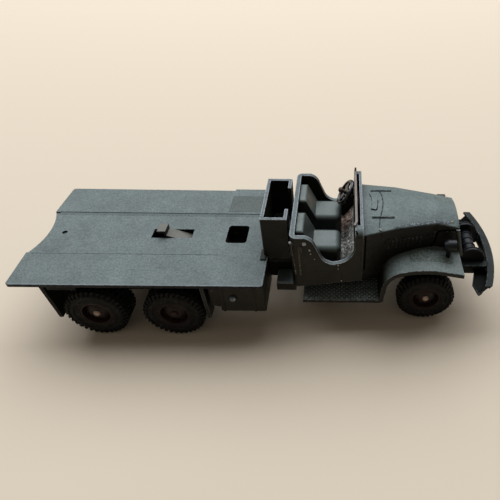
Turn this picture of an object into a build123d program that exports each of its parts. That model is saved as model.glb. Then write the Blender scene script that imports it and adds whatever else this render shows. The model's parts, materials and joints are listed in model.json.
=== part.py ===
from build123d import *
import math
import os

# A die-cast toy of a six-wheeled military cargo truck with an open cab, at about 1:43.
# It is kept as found: the cargo box sides, the windscreen panes and the spare wheel are gone.
# All lengths are millimetres. X runs forward, Y to the truck's left, Z up from the ground.
# Stations along X are measured from the front axle and moved to the middle on export.

# Wheels and axles
wheel_radius = 10.3
rim_radius = 5.1
tread_depth = 0.55
lug_share = 0.62
front_lug_count = 28
rear_lug_count = 23
shoulder_length = 1.5
shoulder_scale = 0.85
bead_depth = 0.5
bead_width = 1.6
front_tyre_width = 5.8
rear_tyre_width = 9.2
twin_groove_width = 0.9
twin_groove_depth = 2.4
front_face_y = 17.6
rear_face_y = 25.6
axle_radius = 1.0
axle_head_radius = 1.2
axle_head_length = 0.5
axle_end_play = 0.1
hub_clearance = 0.05
hub_recess = 0.9
hub_dish_depth = 1.5
hub_lip_width = 0.5
hub_lip_setback = 0.35
hub_boss_margin = 1.0
middle_axle_x = -86.5
bogie_spread = 26.0

# Frame
rail_outer_y = 9.0
rail_wall = 1.0
rail_flange = 2.6
rail_bottom_z = 15.4
rail_top_z = 20.4
belly_rear_x = -74.0
belly_front_x = -43.5
belly_bottom_z = 13.4
frame_rear_x = -131.0
horn_start_x = 10.8
horn_flange_width = 1.5
cross_member_length = 3.0
cross_member_stations = (-129.5, -101.0, -75.0, -50.7, -28.0, 6.0)
sill_member_count = 4
latch_member = 2
bearing_length = 5.0
bearing_width = 2.0
spring_width = 2.2
spring_leaf = 0.8
spring_leaf_step = 0.22
spring_eye_wall = 1.0
front_spring_span = 21.0
front_spring_y = 5.7
bogie_spring_y = 12.4
bogie_spring_rise = 3.0
trunnion_radius = 2.2

# Deck
deck_top_z = 25.4
deck_sheet = 1.1
deck_well_depth = 0.45
deck_half_width = 26.3
deck_front_x = -55.05
deck_rear_x = -136.4
deck_corner_sweep = 0.5
deck_crease_y = 11.2
deck_ear_rear_x = -72.4
deck_ear_width = 1.0
deck_corner_radius = 1.0
deck_scallop_depth = 2.5
deck_window_front_x = -63.6
deck_window_length = 7.4
deck_window_half_width = 4.8
deck_window_radius = 1.2
latch_slot_front_x = -83.15
latch_slot_length = 14.25
latch_slot_half_width = 2.45
latch_half_width = 2.2
latch_sheet = 0.8
latch_foot_z = 21.2
latch_bend_x = -83.8
latch_bend_z = 22.9
latch_neck_x = -91.9
latch_neck_z = 25.8
latch_top_z = 27.7
latch_tab_length = 3.0
deck_hole_x = -128.5
deck_hole_radius = 0.9
sill_width = 2.0
sill_outer_y = 9.0

# Spare wheel carrier
carrier_rear_x = -56.3
carrier_front_x = -47.7
carrier_half_width = 11.7
carrier_top_z = 41.1
carrier_wall = 1.1
carrier_mouth_half_width = 6.0
carrier_clearance = 0.1

# Boxes and flaps below the deck
tank_front_x = -55.2
tank_length = 15.2
tank_outer_y = 24.5
tank_bottom_z = 11.7
tank_shoulder_length = 3.4
tank_shoulder_inset = 1.0
tank_shoulder_rise = 1.0
tank_corner_radius = 0.6
tank_cap_radius = 1.25
tank_cap_height = 0.7
tank_cap_setback = 10.4
tank_strap_width = 0.7
tank_strap_proud = 0.25
tank_strap_inset = 3.2
tank_lap = 0.5
lid_margin = 1.5
lid_height = 0.8
lid_rise = 2.2
hanging_gap = 0.05
step_rear_x = -52.4
step_length = 6.7
step_outer_y = 15.8
step_top_z = 16.6
step_height = 3.6
step_chamfer = 0.4
flap_setback = 1.3
flap_width = 9.6
flap_thickness = 1.2
flap_bottom_z = 8.4
front_flap_x = -75.9
front_flap_lean = 0.5
rear_flap_x = -127.0
rear_flap_lean = 1.5

# Wings and running boards
wing_sheet = 0.9
wing_outer_y = 21.2
wing_lip = 1.6
wing_front_x = 10.5
wing_top_z = 28.2
wing_rear_x = -17.2
wing_knee_step = 0.8
wing_knee_z = 19.6
wing_haunch_x = -14.4
wing_haunch_z = 24.4
wing_back_x = -9.2
wing_back_drop = 1.0
wing_crown_x = -2.5
wing_brow_x = 4.0
wing_brow_drop = 0.6
wing_front_drop = 1.9
board_rear_x = -43.0
board_top_z = 13.9
board_lip = 1.3
apron_wall = 1.0

# Bonnet and radiator shell
casting_wall = 1.2
bonnet_rear_x = -23.1
bonnet_middle_x = -11.0
bonnet_brow_x = 2.0
bonnet_front_x = 9.4
bonnet_nose_x = 12.0
bonnet_rear_half_width = 14.9
bonnet_middle_half_width = 11.8
bonnet_brow_half_width = 8.7
bonnet_nose_half_width = 8.8
bonnet_rear_shoulder_z = 37.4
bonnet_middle_shoulder_z = 38.4
bonnet_brow_shoulder_z = 38.0
bonnet_nose_shoulder_z = 35.6
bonnet_rear_crown = 2.2
bonnet_crown = 1.4
louvre_count = 9
louvre_rear_x = -14.6
louvre_pitch = 1.35
louvre_width = 0.55
louvre_proud = 0.3
louvre_bottom_z = 30.0
louvre_top_z = 33.4
bonnet_shoulder_radius = 0.7
shell_rear_x = 1.2
shell_top_z = 34.6
guard_half_width = 9.4
guard_top_x = 9.5
guard_top_z = 35.6
guard_bottom_x = 12.3
guard_bottom_z = 24.2
guard_thickness = 1.2
guard_clearance = 0.1
guard_bar_count = 8
guard_bar_width = 0.8
guard_rim = 1.0
grille_bar_count = 9
grille_bar_width = 0.7
grille_clearance = 0.2
grille_setback = 1.8

# Cab
cab_rear_x = -46.5
cab_front_x = -23.1
cab_half_width = 18.5
cab_bottom_z = 17.2
cab_bottom_front_z = 21.0
cab_rim_z = 39.1
cab_wall = 1.55
cab_corner_radius = 2.2
cowl_rear_x = -25.7
cowl_top_z = 41.6
cowl_groove_width = 0.9
cowl_groove_depth = 6.0
cowl_lip = 0.8
cowl_corner_radius = 2.6
cowl_groove_margin = 1.2
door_front_z = 35.4
door_front_bow = (-28.0, 30.1)
door_dip_x = -32.8
door_dip_z = 28.0
door_rear_bow = (-35.2, 29.1)
door_ramp_foot = (-36.8, 31.6)
door_ramp_head = (-38.4, 35.6)
door_brow = (-39.4, 37.6)
door_brow_end_x = -41.7
floor_sheet = 0.8
toe_board_length = 3.4
toe_board_rise = 5.0
rail_bar_height = 0.7
rail_bar_far_y = 16.4
rail_bar_bend_y = -13.5
rail_bar_end_y = -15.5
rail_bar_bend = 0.7
rail_pin_radius = 0.35
rail_pin_height = 1.8

# Seats
seat_half_gap = 3.0
seat_width = 10.8
seat_rear_x = -44.9
seat_front_x = -30.2
seat_top_z = 31.0
seat_back_top_z = 37.8
seat_back_top_length = 2.3
seat_back_foot = 5.4
seat_base_z = 24.0
seat_base_setback = 1.5
seat_radius = 1.0
seat_nose_radius = 2.2
seat_corner_radius = 2.0

# Steering
steering_x = -28.8
steering_y = 9.5
steering_z = 37.2
steering_radius = 4.6
steering_tube_radius = 0.45
steering_tilt = 33.0
steering_hub_radius = 1.2
steering_hub_length = 0.8
steering_spoke_width = 0.7
steering_spoke_sheet = 0.5
column_radius = 0.6
column_stub = 2.4
column_head_radius = 1.1
column_head_length = 0.7

# Lamps, winch and bumper
lamp_x = 6.1
lamp_y = 13.0
lamp_z = 31.9
lamp_radius = 2.1
lamp_length = 4.0
lamp_back_radius = 1.2
lamp_bowl_depth = 1.3
lamp_bezel = 0.5
lamp_stem_radius = 0.8
winch_x = 16.2
winch_z = 21.2
winch_flange_radius = 4.4
winch_flange_y = 7.8
winch_flange_width = 1.6
winch_drum_radius = 2.3
winch_bar_x = 12.2
winch_bar_radius = 0.8
winch_bar_drop = 1.4
winch_arm_rise = 1.0
bumper_middle_x = 24.8
bumper_tip_x = 21.0
bumper_half_width = 20.6
bumper_top_z = 20.6
bumper_height = 4.7
bumper_flange = 2.4
bumper_wall = 0.9
bumper_gusset_horn_x = 17.8
bumper_gusset_elbow = (15.9, 15.8)
bumper_gusset_tip_x = 17.0
bumper_end_rear_x = 17.5
bumper_end_front = (23.4, 11.0)

rear_axle_x = middle_axle_x - bogie_spread
deck_under_z = deck_top_z - deck_sheet
deck_well_z = deck_top_z - deck_well_depth
origin_x = (deck_rear_x + bumper_middle_x) / 2
origin_y = deck_ear_width / 2


def block(x0, x1, y0, y1, z0, z1):
    """A box between two corners."""
    size = (abs(x1 - x0), abs(y1 - y0), abs(z1 - z0))
    middle = ((x0 + x1) / 2, (y0 + y1) / 2, (z0 + z1) / 2)
    return Pos(*middle) * Box(*size)


def mirrored(shape):
    """The same piece on the other side of the truck."""
    return mirror(shape, about=Plane.XZ)


def side_profile(wire, y0, y1):
    """A face drawn in X and Z, pushed across the truck from y0 to y1."""
    face = make_face(Plane.XZ * wire)
    return Pos(0, y0, 0) * extrude(face, amount=y1 - y0, dir=(0, 1, 0))


def rod(radius, start, end):
    """A round bar between two points."""
    length = (Vector(*end) - Vector(*start)).length
    direction = Vector(*end) - Vector(*start)
    plane = Plane(origin=start, z_dir=direction)
    return plane * Pos(0, 0, length / 2) * Cylinder(radius, length)


def tread_outline(height, scale, lugs):
    """The tyre's outline across the axle: for each pitch a flat lug and a notch."""
    # columns: share of the pitch, radius
    tooth = (
        (0.0, wheel_radius), (lug_share, wheel_radius), ((1 + lug_share) / 2, wheel_radius - tread_depth),
    )
    points = []
    for number in range(lugs):
        for share, radius in tooth:
            angle = 2 * math.pi * (number + share) / lugs
            points.append((scale * radius * math.cos(angle), scale * radius * math.sin(angle)))
    return Pos(0, 0, height) * make_face(Polyline(*points, close=True))


def lugged_body(width, lugs):
    """A tyre without its bore, its lugs running over both shoulders."""
    # columns: height, scale of the outline
    sections = (
        (0, shoulder_scale), (-shoulder_length, 1.0),
        (shoulder_length - width, 1.0), (-width, shoulder_scale),
    )
    return loft([tread_outline(z, scale, lugs) for z, scale in sections], ruled=True)


def ring_of(points):
    """A profile of radius and height points turned round the axle."""
    face = make_face(Plane.XZ * Polyline(*points, close=True))
    return revolve(face, axis=Axis.Z)


def tyre(width, lugs, twin):
    """A lugged tyre, its outer face at height 0 and its inner face at -width."""
    middle = -width / 2
    body = lugged_body(width, lugs)
    body -= ring_of((
        (0, bead_depth), (rim_radius + 2 * bead_width, bead_depth), (rim_radius, -bead_depth),
        (rim_radius, -width - 1), (0, -width - 1),
    ))
    if twin:
        groove = twin_groove_width / 2
        floor = wheel_radius - twin_groove_depth
        body -= ring_of((
            (floor, middle - groove), (wheel_radius + 1, middle - groove),
            (wheel_radius + 1, middle + groove), (floor, middle + groove),
        ))
    return body


def hub(width):
    """A dished wheel centre with a raised lip, that turns on its axle."""
    bore = axle_radius + hub_clearance
    rim = rim_radius - hub_lip_width
    boss = axle_head_radius + hub_boss_margin
    back = hub_recess - width
    return ring_of((
        (bore, -hub_recess), (boss, -hub_recess), (rim, -hub_recess - hub_dish_depth),
        (rim, -hub_lip_setback), (rim_radius, -hub_lip_setback), (rim_radius, back), (bore, back),
    ))


def wheel_place(x, face_y, side):
    """Where a wheel stands: side is -1 on the right and 1 on the left."""
    return Location((x, side * face_y, wheel_radius), (-90 * side, 0, 0))


def axle(x, face_y):
    """A fixed rod through both hubs, its ends hammered into flat heads."""
    inner = face_y - hub_recess + axle_end_play
    body = Pos(x, 0, wheel_radius) * Rotation(90, 0, 0) * Cylinder(axle_radius, 2 * inner)
    for side in (-1, 1):
        head = Cone(axle_head_radius, axle_radius - axle_end_play, axle_head_length)
        y = side * (inner + axle_head_length / 2)
        body += Location((x, y, wheel_radius), (-90 * side, 0, 0)) * head
    return body


def bumper_plan(depth):
    """The bumper's plan: an arc across the truck and the same arc set back by depth."""
    front = ThreePointArc(
        (bumper_tip_x, -bumper_half_width), (bumper_middle_x, 0), (bumper_tip_x, bumper_half_width)
    )
    rear = ThreePointArc(
        (bumper_tip_x - depth, bumper_half_width),
        (bumper_middle_x - depth, 0),
        (bumper_tip_x - depth, -bumper_half_width),
    )
    joins = Line(front @ 1, rear @ 0) + Line(rear @ 1, front @ 0)
    return make_face(front + rear + joins)


def beyond_bumper_end():
    """The space outside the slanting cut of the bumper's right end."""
    front_x, front_y = bumper_end_front
    bottom = bumper_top_z - bumper_height
    corner = Vector(bumper_tip_x, -bumper_half_width, bumper_top_z)
    rear_foot = Vector(bumper_end_rear_x, -bumper_half_width, bottom)
    front_foot = Vector(front_x, -front_y, bottom)
    outward = (rear_foot - corner).cross(front_foot - corner)
    size = 2 * bumper_half_width
    return Plane(origin=corner, z_dir=outward) * Pos(0, 0, size / 2) * Box(size, size, size)


def bumper():
    """A rolled channel with its open side to the rear and a plate from each horn to its end."""
    bottom = bumper_top_z - bumper_height
    web = Pos(0, 0, bottom) * extrude(bumper_plan(bumper_wall), amount=bumper_height, dir=(0, 0, 1))
    flange = extrude(bumper_plan(bumper_flange), amount=bumper_wall, dir=(0, 0, 1))
    body = web + Pos(0, 0, bottom) * flange + Pos(0, 0, bumper_top_z - bumper_wall) * flange
    elbow_x, elbow_y = bumper_gusset_elbow
    flange_x = bumper_tip_x - bumper_flange / 2
    outline = Polyline(
        (bumper_gusset_horn_x, -rail_outer_y), (elbow_x, -elbow_y),
        (bumper_gusset_tip_x, -bumper_half_width), (flange_x, -bumper_half_width),
        (bumper_middle_x - bumper_flange, -rail_outer_y), close=True,
    )
    gusset = Pos(0, 0, bottom) * extrude(make_face(outline), amount=bumper_wall, dir=(0, 0, 1))
    cut = beyond_bumper_end()
    return body + gusset + mirrored(gusset) - cut - mirrored(cut)


def ahead_of_horns():
    """The space from the bumper's open side forwards, for seating the frame horns on it."""
    rear_x = bumper_tip_x - bumper_flange
    far_x = bumper_middle_x + 5
    arc = ThreePointArc(
        (rear_x, bumper_half_width), (bumper_middle_x - bumper_flange, 0), (rear_x, -bumper_half_width)
    )
    sides = Polyline(
        (rear_x, -bumper_half_width), (far_x, -bumper_half_width), (far_x, bumper_half_width),
        (rear_x, bumper_half_width),
    )
    plan = make_face(arc + sides)
    height = rail_top_z - rail_bottom_z + 2
    return Pos(0, 0, rail_bottom_z - 1) * extrude(plan, amount=height, dir=(0, 0, 1))


def frame():
    """Two channel rails with cross members, axle bearings and horns that carry the bumper."""
    web = rail_wall - rail_outer_y
    rails = block(frame_rear_x, bumper_middle_x, -rail_outer_y, web, rail_bottom_z, rail_top_z)
    rails += block(belly_rear_x, belly_front_x, -rail_outer_y, web, belly_bottom_z, rail_top_z)
    for z in (rail_bottom_z, rail_top_z - rail_wall):
        rails += block(frame_rear_x, horn_start_x, -rail_outer_y, rail_flange - rail_outer_y,
                       z, z + rail_wall)
    rails += block(horn_start_x, bumper_middle_x, -rail_outer_y - horn_flange_width, web,
                   rail_top_z - rail_wall, rail_top_z)
    body = rails + mirrored(rails)
    inner = rail_outer_y - rail_wall / 2
    for x in cross_member_stations:
        body += block(x, x + cross_member_length, -inner, inner, rail_bottom_z, rail_top_z)
    for x in (0.0, middle_axle_x, rear_axle_x):
        bearing = block(x - bearing_length / 2, x + bearing_length / 2, -rail_outer_y,
                        bearing_width - rail_outer_y, wheel_radius, rail_bottom_z + rail_wall)
        foot = Pos(x, bearing_width / 2 - rail_outer_y, wheel_radius) * Rotation(90, 0, 0)
        bearing += foot * Cylinder(bearing_length / 2, bearing_width)
        body += bearing + mirrored(bearing)
    for x in (0.0, middle_axle_x, rear_axle_x):
        body -= Pos(x, 0, wheel_radius) * Rotation(90, 0, 0) * Cylinder(axle_radius, 3 * rail_outer_y)
    return body - ahead_of_horns()


def leaf_spring(x, span, rise, y, top):
    """A bowed pack of three leaves, its middle the lowest point."""
    body = None
    for number in range(3):
        half = span / 2 * (1 - spring_leaf_step * number)
        sag = rise * (half / (span / 2)) ** 2
        high = top - rise + sag - number * spring_leaf
        low = top - rise - number * spring_leaf
        upper = ThreePointArc((x - half, high), (x, low), (x + half, high))
        tip = high - spring_leaf
        lower = ThreePointArc((x + half, tip), (x, low - spring_leaf), (x - half, tip))
        ends = Line(upper @ 1, lower @ 0) + Line(lower @ 1, upper @ 0)
        leaf = side_profile(upper + lower + ends, y - spring_width / 2, y + spring_width / 2)
        body = leaf if body is None else body + leaf
    return body


def bogie():
    """The rear springs on their trunnion beam, with a pad on each axle."""
    centre = (middle_axle_x + rear_axle_x) / 2
    beam = rod(trunnion_radius, (centre, -bogie_spring_y, rail_bottom_z - trunnion_radius),
               (centre, bogie_spring_y, rail_bottom_z - trunnion_radius))
    body = beam
    for side in (-1, 1):
        y0 = side * bogie_spring_y - spring_width / 2
        y1 = y0 + spring_width
        tip = bogie_spread / 2
        low = wheel_radius + axle_radius
        high = low + bogie_spring_rise
        bow = ThreePointArc((centre - tip, low), (centre, high), (centre + tip, low))
        root = low - 2 * spring_leaf
        sole = high - 5 * spring_leaf
        under = ThreePointArc((centre + tip, root), (centre, sole), (centre - tip, root))
        ends = Line(bow @ 1, under @ 0) + Line(under @ 1, bow @ 0)
        body += side_profile(bow + under + ends, y0, y1)
        for x in (middle_axle_x, rear_axle_x):
            eye = Pos(x, (y0 + y1) / 2, wheel_radius) * Rotation(90, 0, 0)
            body += eye * Cylinder(axle_radius + spring_eye_wall, spring_width)
    for x in (middle_axle_x, rear_axle_x):
        body -= Pos(x, 0, wheel_radius) * Rotation(90, 0, 0) * Cylinder(axle_radius, 3 * bogie_spring_y)
    return body - block(frame_rear_x, 0, -rail_outer_y, rail_outer_y, rail_bottom_z, rail_top_z)


def deck_plan():
    """The deck's outline: swept rear corners, a scalloped rear edge and an ear on the left."""
    swept = deck_rear_x + deck_corner_sweep
    outline = Polyline(
        (deck_rear_x, -deck_crease_y), (swept, -deck_half_width), (deck_front_x, -deck_half_width),
        (deck_front_x, deck_half_width), (swept, deck_half_width), (deck_rear_x, deck_crease_y),
    )
    scallop = ThreePointArc(
        (deck_rear_x, deck_crease_y), (deck_rear_x + deck_scallop_depth, 0), (deck_rear_x, -deck_crease_y)
    )
    face = make_face(outline + scallop)
    corners = face.vertices().filter_by_position(Axis.Y, deck_half_width - 0.1, deck_half_width + 0.1)
    corners += face.vertices().filter_by_position(Axis.Y, -deck_half_width - 0.1, -deck_half_width + 0.1)
    return fillet(corners, deck_corner_radius)


def deck():
    """A pressed sheet: a middle panel set lower than the wings, a window, a hole and a latch slot."""
    ear = deck_half_width + deck_ear_width
    # columns: place across the truck, height
    upper = [
        (-deck_half_width, deck_top_z), (-deck_crease_y, deck_top_z), (-deck_crease_y, deck_well_z),
        (deck_crease_y, deck_well_z), (deck_crease_y, deck_top_z), (ear, deck_top_z),
    ]
    lower = [(ear, deck_under_z), (-deck_half_width, deck_under_z)]
    section = make_face(Plane.YZ * Polyline(*upper, *lower, close=True))
    length = deck_front_x - deck_rear_x
    sheet = Pos(deck_rear_x - 1, 0, 0) * extrude(section, amount=length + 2, dir=(1, 0, 0))
    plan = extrude(deck_plan(), amount=deck_sheet + 2, dir=(0, 0, 1))
    plan += block(deck_ear_rear_x, deck_front_x, 0, ear, 0, deck_sheet + 2)
    body = sheet & (Pos(0, 0, deck_under_z - 1) * plan)
    window = RectangleRounded(deck_window_length, 2 * deck_window_half_width, deck_window_radius)
    place = Pos(deck_window_front_x - deck_window_length / 2, 0, deck_under_z - 1)
    body -= place * extrude(window, amount=deck_sheet + 2, dir=(0, 0, 1))
    body -= block(latch_slot_front_x - latch_slot_length, latch_slot_front_x,
                  -latch_slot_half_width, latch_slot_half_width, deck_under_z - 1, deck_top_z + 1)
    body -= Pos(deck_hole_x, 0, deck_top_z) * Cylinder(deck_hole_radius, 4 * deck_sheet)
    notch_y = carrier_half_width + carrier_clearance
    return body - block(carrier_rear_x - carrier_clearance, 0, -notch_y, notch_y, 0, deck_top_z + 1)


def latch_spring():
    """A strip that rises from a cross member through the deck's slot and ends in a raised tab."""
    foot_x = cross_member_stations[latch_member]
    under = latch_sheet
    outline = Polyline(
        (foot_x, latch_foot_z), (latch_bend_x, latch_bend_z), (latch_neck_x, latch_neck_z),
        (latch_neck_x, latch_top_z), (latch_neck_x - latch_tab_length, latch_top_z),
        (latch_neck_x - latch_tab_length, latch_top_z - under), (latch_neck_x - under, latch_top_z - under),
        (latch_neck_x - under, latch_neck_z - under), (latch_bend_x, latch_bend_z - under),
        (foot_x, latch_foot_z - under), close=True,
    )
    return side_profile(outline, -latch_half_width, latch_half_width)


def sills():
    """Two long sills with cross pieces that lift the deck and the carrier off the frame."""
    front = carrier_front_x
    sill = block(frame_rear_x, front, -sill_outer_y, sill_width - sill_outer_y, rail_top_z, deck_under_z)
    body = sill + mirrored(sill)
    inner = sill_outer_y - sill_width / 2
    for x in cross_member_stations[:sill_member_count]:
        body += block(x, x + cross_member_length, -inner, inner, rail_top_z, deck_under_z)
    return body


def carrier():
    """An upright box, open at the top, that held the spare wheel, with a mouth towards the cab."""
    wide = carrier_half_width
    floor = deck_top_z + carrier_wall
    lid = carrier_top_z + 1
    outer = block(carrier_rear_x, carrier_front_x, -wide, wide, deck_under_z, carrier_top_z)
    inner = block(carrier_rear_x + carrier_wall, carrier_front_x - carrier_wall,
                  carrier_wall - wide, wide - carrier_wall, floor, lid)
    mouth = block(carrier_front_x - 2 * carrier_wall, carrier_front_x + 1,
                  -carrier_mouth_half_width, carrier_mouth_half_width, floor, lid)
    return outer - inner - mouth


def side_box(has_cap):
    """A box hung on the frame below the deck's front, on the right side."""
    top = deck_under_z - hanging_gap
    rear = tank_front_x - tank_length
    body = block(rear, tank_front_x, -tank_outer_y, -rail_outer_y, tank_bottom_z, top)
    corner = body.edges().filter_by(Axis.Z).group_by(Axis.Y)[0]
    body = fillet(corner, tank_corner_radius)
    shoulder_y = tank_outer_y - tank_shoulder_inset
    body += block(rear - tank_shoulder_length, rear + tank_lap, -shoulder_y, -rail_outer_y,
                  tank_bottom_z + tank_shoulder_rise, top)
    middle_z = (tank_bottom_z + top) / 2
    near = tank_lap - tank_outer_y
    proud = -tank_outer_y - tank_strap_proud
    if has_cap:
        cap_x = tank_front_x - tank_cap_setback
        cap_y = -tank_outer_y - tank_cap_height
        body += rod(tank_cap_radius, (cap_x, near, middle_z), (cap_x, cap_y, middle_z))
        for x in (tank_front_x - tank_strap_inset, rear + tank_strap_inset / 2):
            body += block(x - tank_strap_width, x, near, proud, tank_bottom_z, top)
        return body
    lid_z = middle_z + lid_rise
    return body + block(rear + lid_margin, tank_front_x - lid_margin, proud, near, lid_z, lid_z + lid_height)


def step_box():
    """The small step box beside the frame, behind the cab."""
    body = block(step_rear_x, step_rear_x + step_length, -step_outer_y, -rail_outer_y,
                 step_top_z - step_height, step_top_z)
    return chamfer(body.edges().filter_by(Axis.X).group_by(Axis.Z)[-1].sort_by(Axis.Y)[0], step_chamfer)


def mud_flap(x, lean):
    """A flap that leans forward towards its foot, below the deck's edge."""
    top = deck_under_z - hanging_gap
    outline = Polyline(
        (x, top), (x + flap_thickness, top), (x + flap_thickness + lean, flap_bottom_z),
        (x + lean, flap_bottom_z), close=True,
    )
    outer_y = deck_half_width - flap_setback
    return side_profile(outline, -outer_y, flap_width - outer_y)


def wing_line(drop):
    """The wing's side line from its foot to its front, lowered or drawn in by drop."""
    foot = (wing_rear_x + drop, board_top_z - wing_sheet)
    knee = (wing_rear_x + wing_knee_step + drop, wing_knee_z)
    haunch = (wing_haunch_x + 0.8 * drop, wing_haunch_z - 0.6 * drop)
    back = (wing_back_x + 0.4 * drop, wing_top_z - wing_back_drop - 0.9 * drop)
    crown = (wing_crown_x, wing_top_z - drop)
    brow = (wing_brow_x, wing_top_z - wing_brow_drop - drop)
    front = (wing_front_x, wing_top_z - wing_front_drop - drop)
    arch = ThreePointArc(knee, haunch, back) + ThreePointArc(back, crown, brow)
    return Line(foot, knee) + arch + Line(brow, front)


def wing_strip(depth, y0, y1):
    """A strip of the wing, depth thick, between two places across the truck."""
    upper = wing_line(0)
    lower = wing_line(depth)
    ends = Line(upper @ 0, lower @ 0) + Line(upper @ 1, lower @ 1)
    return side_profile(upper + lower + ends, y0, y1)


def below_wings(y0, y1):
    """All the space under the wing line, for trimming what stands on the wings."""
    line = wing_line(0)
    foot = line @ 0
    front = line @ 1
    close = Polyline((front.X, front.Y), (front.X, 0), (foot.X, 0), (foot.X, foot.Y))
    return side_profile(line + close, y0, y1)


def bonnet_section(x, half_width, shoulder_z, crown, inset):
    """A closed cross section of the bonnet: straight sides, round shoulders and a crowned top."""
    w = half_width - inset
    z = shoulder_z - inset
    r = bonnet_shoulder_radius
    top = z + crown
    bottom = cab_bottom_z
    section = Line((-w, bottom), (w, bottom)) + Line((w, bottom), (w, z - r))
    section += ThreePointArc((w, z - r), (w - 0.3 * r, z - 0.3 * r), (w - r, z))
    section += ThreePointArc((w - r, z), (0, top), (r - w, z))
    section += ThreePointArc((r - w, z), (0.3 * r - w, z - 0.3 * r), (-w, z - r))
    section += Line((-w, z - r), (-w, bottom))
    plane = Plane(origin=(x, 0, 0), x_dir=(0, 1, 0), z_dir=(1, 0, 0))
    return make_face(plane * section)


def bonnet_form(inset):
    """The bonnet's form, tapering from the cowl to past the radiator, drawn in by inset."""
    # columns: station, half width, height of the shoulder, rise of the crown
    sections = (
        (bonnet_rear_x, bonnet_rear_half_width, bonnet_rear_shoulder_z, bonnet_rear_crown),
        (bonnet_middle_x, bonnet_middle_half_width, bonnet_middle_shoulder_z, bonnet_crown),
        (bonnet_brow_x, bonnet_brow_half_width, bonnet_brow_shoulder_z, bonnet_crown),
        (bonnet_nose_x, bonnet_nose_half_width, bonnet_nose_shoulder_z, bonnet_crown),
    )
    return loft([bonnet_section(*section, inset) for section in sections], ruled=True)


def ahead_of_guard():
    """The space in front of the guard's rear face, down to the ground."""
    slope = (guard_bottom_x - guard_top_x) / (guard_top_z - guard_bottom_z)
    rear_top = guard_top_x - guard_thickness
    rear_foot = rear_top + slope * guard_top_z
    outline = Polyline(
        (rear_top, guard_top_z), (bumper_middle_x, guard_top_z), (bumper_middle_x, 0), (rear_foot, 0),
        close=True,
    )
    reach = guard_half_width + guard_clearance
    return side_profile(outline, -reach, reach)


def across(x0, x1, z0, z1):
    """A block as wide as the bonnet at its widest and a little more."""
    wide = bonnet_rear_half_width + bonnet_crown
    return block(x0, x1, -wide, wide, z0, z1)


def louvres(outer):
    """Upright louvres that stand proud on both sides of the bonnet."""
    body = None
    for number in range(louvre_count):
        x = louvre_rear_x + number * louvre_pitch
        bar = across(x, x + louvre_width, louvre_bottom_z, louvre_top_z)
        body = bar if body is None else body + bar
    return (bonnet_form(-louvre_proud) & body) - outer


def bonnet():
    """The hollow bonnet with its louvres, cut to stand on the wings and over the radiator shell."""
    wide = bonnet_rear_half_width + bonnet_crown
    behind = across(bonnet_rear_x - 1, bonnet_front_x, 0, cowl_top_z)
    outer = bonnet_form(0) & behind
    inner = bonnet_form(casting_wall) & (Pos(-casting_wall, 0, 0) * behind)
    body = outer - inner
    body -= below_wings(-wide, wide)
    body -= across(shell_rear_x, bonnet_nose_x, 0, shell_top_z)
    return body + louvres(outer) - ahead_of_guard()


def wings():
    """Both wings and running boards with the radiator shell, one casting."""
    inner_y = rail_outer_y
    board_front_x = wing_rear_x + wing_sheet
    side = wing_strip(wing_sheet, -wing_outer_y, -inner_y)
    side += wing_strip(wing_lip, -wing_outer_y, wing_sheet - wing_outer_y)
    below_rail = block(board_rear_x, bumper_middle_x, -wing_outer_y, 0, 0, rail_bottom_z)
    side += below_wings(-inner_y - apron_wall, -inner_y) - below_rail
    # columns: outer and inner place across, bottom, top
    strips = (
        (-wing_outer_y, -inner_y, board_top_z - wing_sheet, board_top_z),
        (-wing_outer_y, wing_sheet - wing_outer_y, board_top_z - board_lip, board_top_z),
        (-inner_y - apron_wall, -inner_y, board_top_z - wing_sheet, cab_bottom_z),
    )
    for y0, y1, z0, z1 in strips:
        side += block(board_rear_x, board_front_x, y0, y1, z0, z1)
    body = side + mirrored(side)
    wide = bonnet_rear_half_width + bonnet_crown
    shell = bonnet_form(0) & across(shell_rear_x, wing_front_x, 0, shell_top_z)
    shell -= bonnet_form(casting_wall) & across(shell_rear_x + casting_wall, bonnet_nose_x, 0, cowl_top_z)
    shell -= below_wings(-wide, wide)
    shell -= ahead_of_guard()
    floor = wing_strip(wing_sheet, -inner_y, inner_y)
    floor &= across(shell_rear_x, bonnet_front_x, 0, cowl_top_z)
    return body + shell + floor


def grille():
    """Upright bars across the mouth of the radiator shell, between two rails."""
    half = bonnet_nose_half_width - casting_wall - grille_clearance
    thick = grille_bar_width / 2
    x = bonnet_front_x - grille_setback
    low = wing_top_z - wing_sheet
    high = shell_top_z - grille_clearance
    body = None
    for z in (low, high - grille_bar_width):
        bar = block(x - thick, x + thick, -half, half, z, z + grille_bar_width)
        body = bar if body is None else body + bar
    for number in range(grille_bar_count):
        y = -half + (number + 0.5) * 2 * half / grille_bar_count
        body += block(x - thick, x + thick, y - thick, y + thick, low, high)
    return body


def grille_guard():
    """A flat guard of upright bars that leans back against the radiator."""
    outline = Polyline(
        (guard_top_x - guard_thickness, guard_top_z), (guard_top_x, guard_top_z),
        (guard_bottom_x, guard_bottom_z), (guard_bottom_x - guard_thickness, guard_bottom_z), close=True,
    )
    body = side_profile(outline, -guard_half_width, guard_half_width)
    clear = 2 * (guard_half_width - guard_rim)
    gap = (clear - (guard_bar_count - 1) * guard_bar_width) / guard_bar_count
    low = guard_bottom_z + guard_rim
    high = guard_top_z - guard_rim
    for number in range(guard_bar_count):
        y = guard_rim - guard_half_width + number * (gap + guard_bar_width)
        body -= block(bonnet_brow_x, bumper_middle_x, y, y + gap, low, high)
    return body


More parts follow.
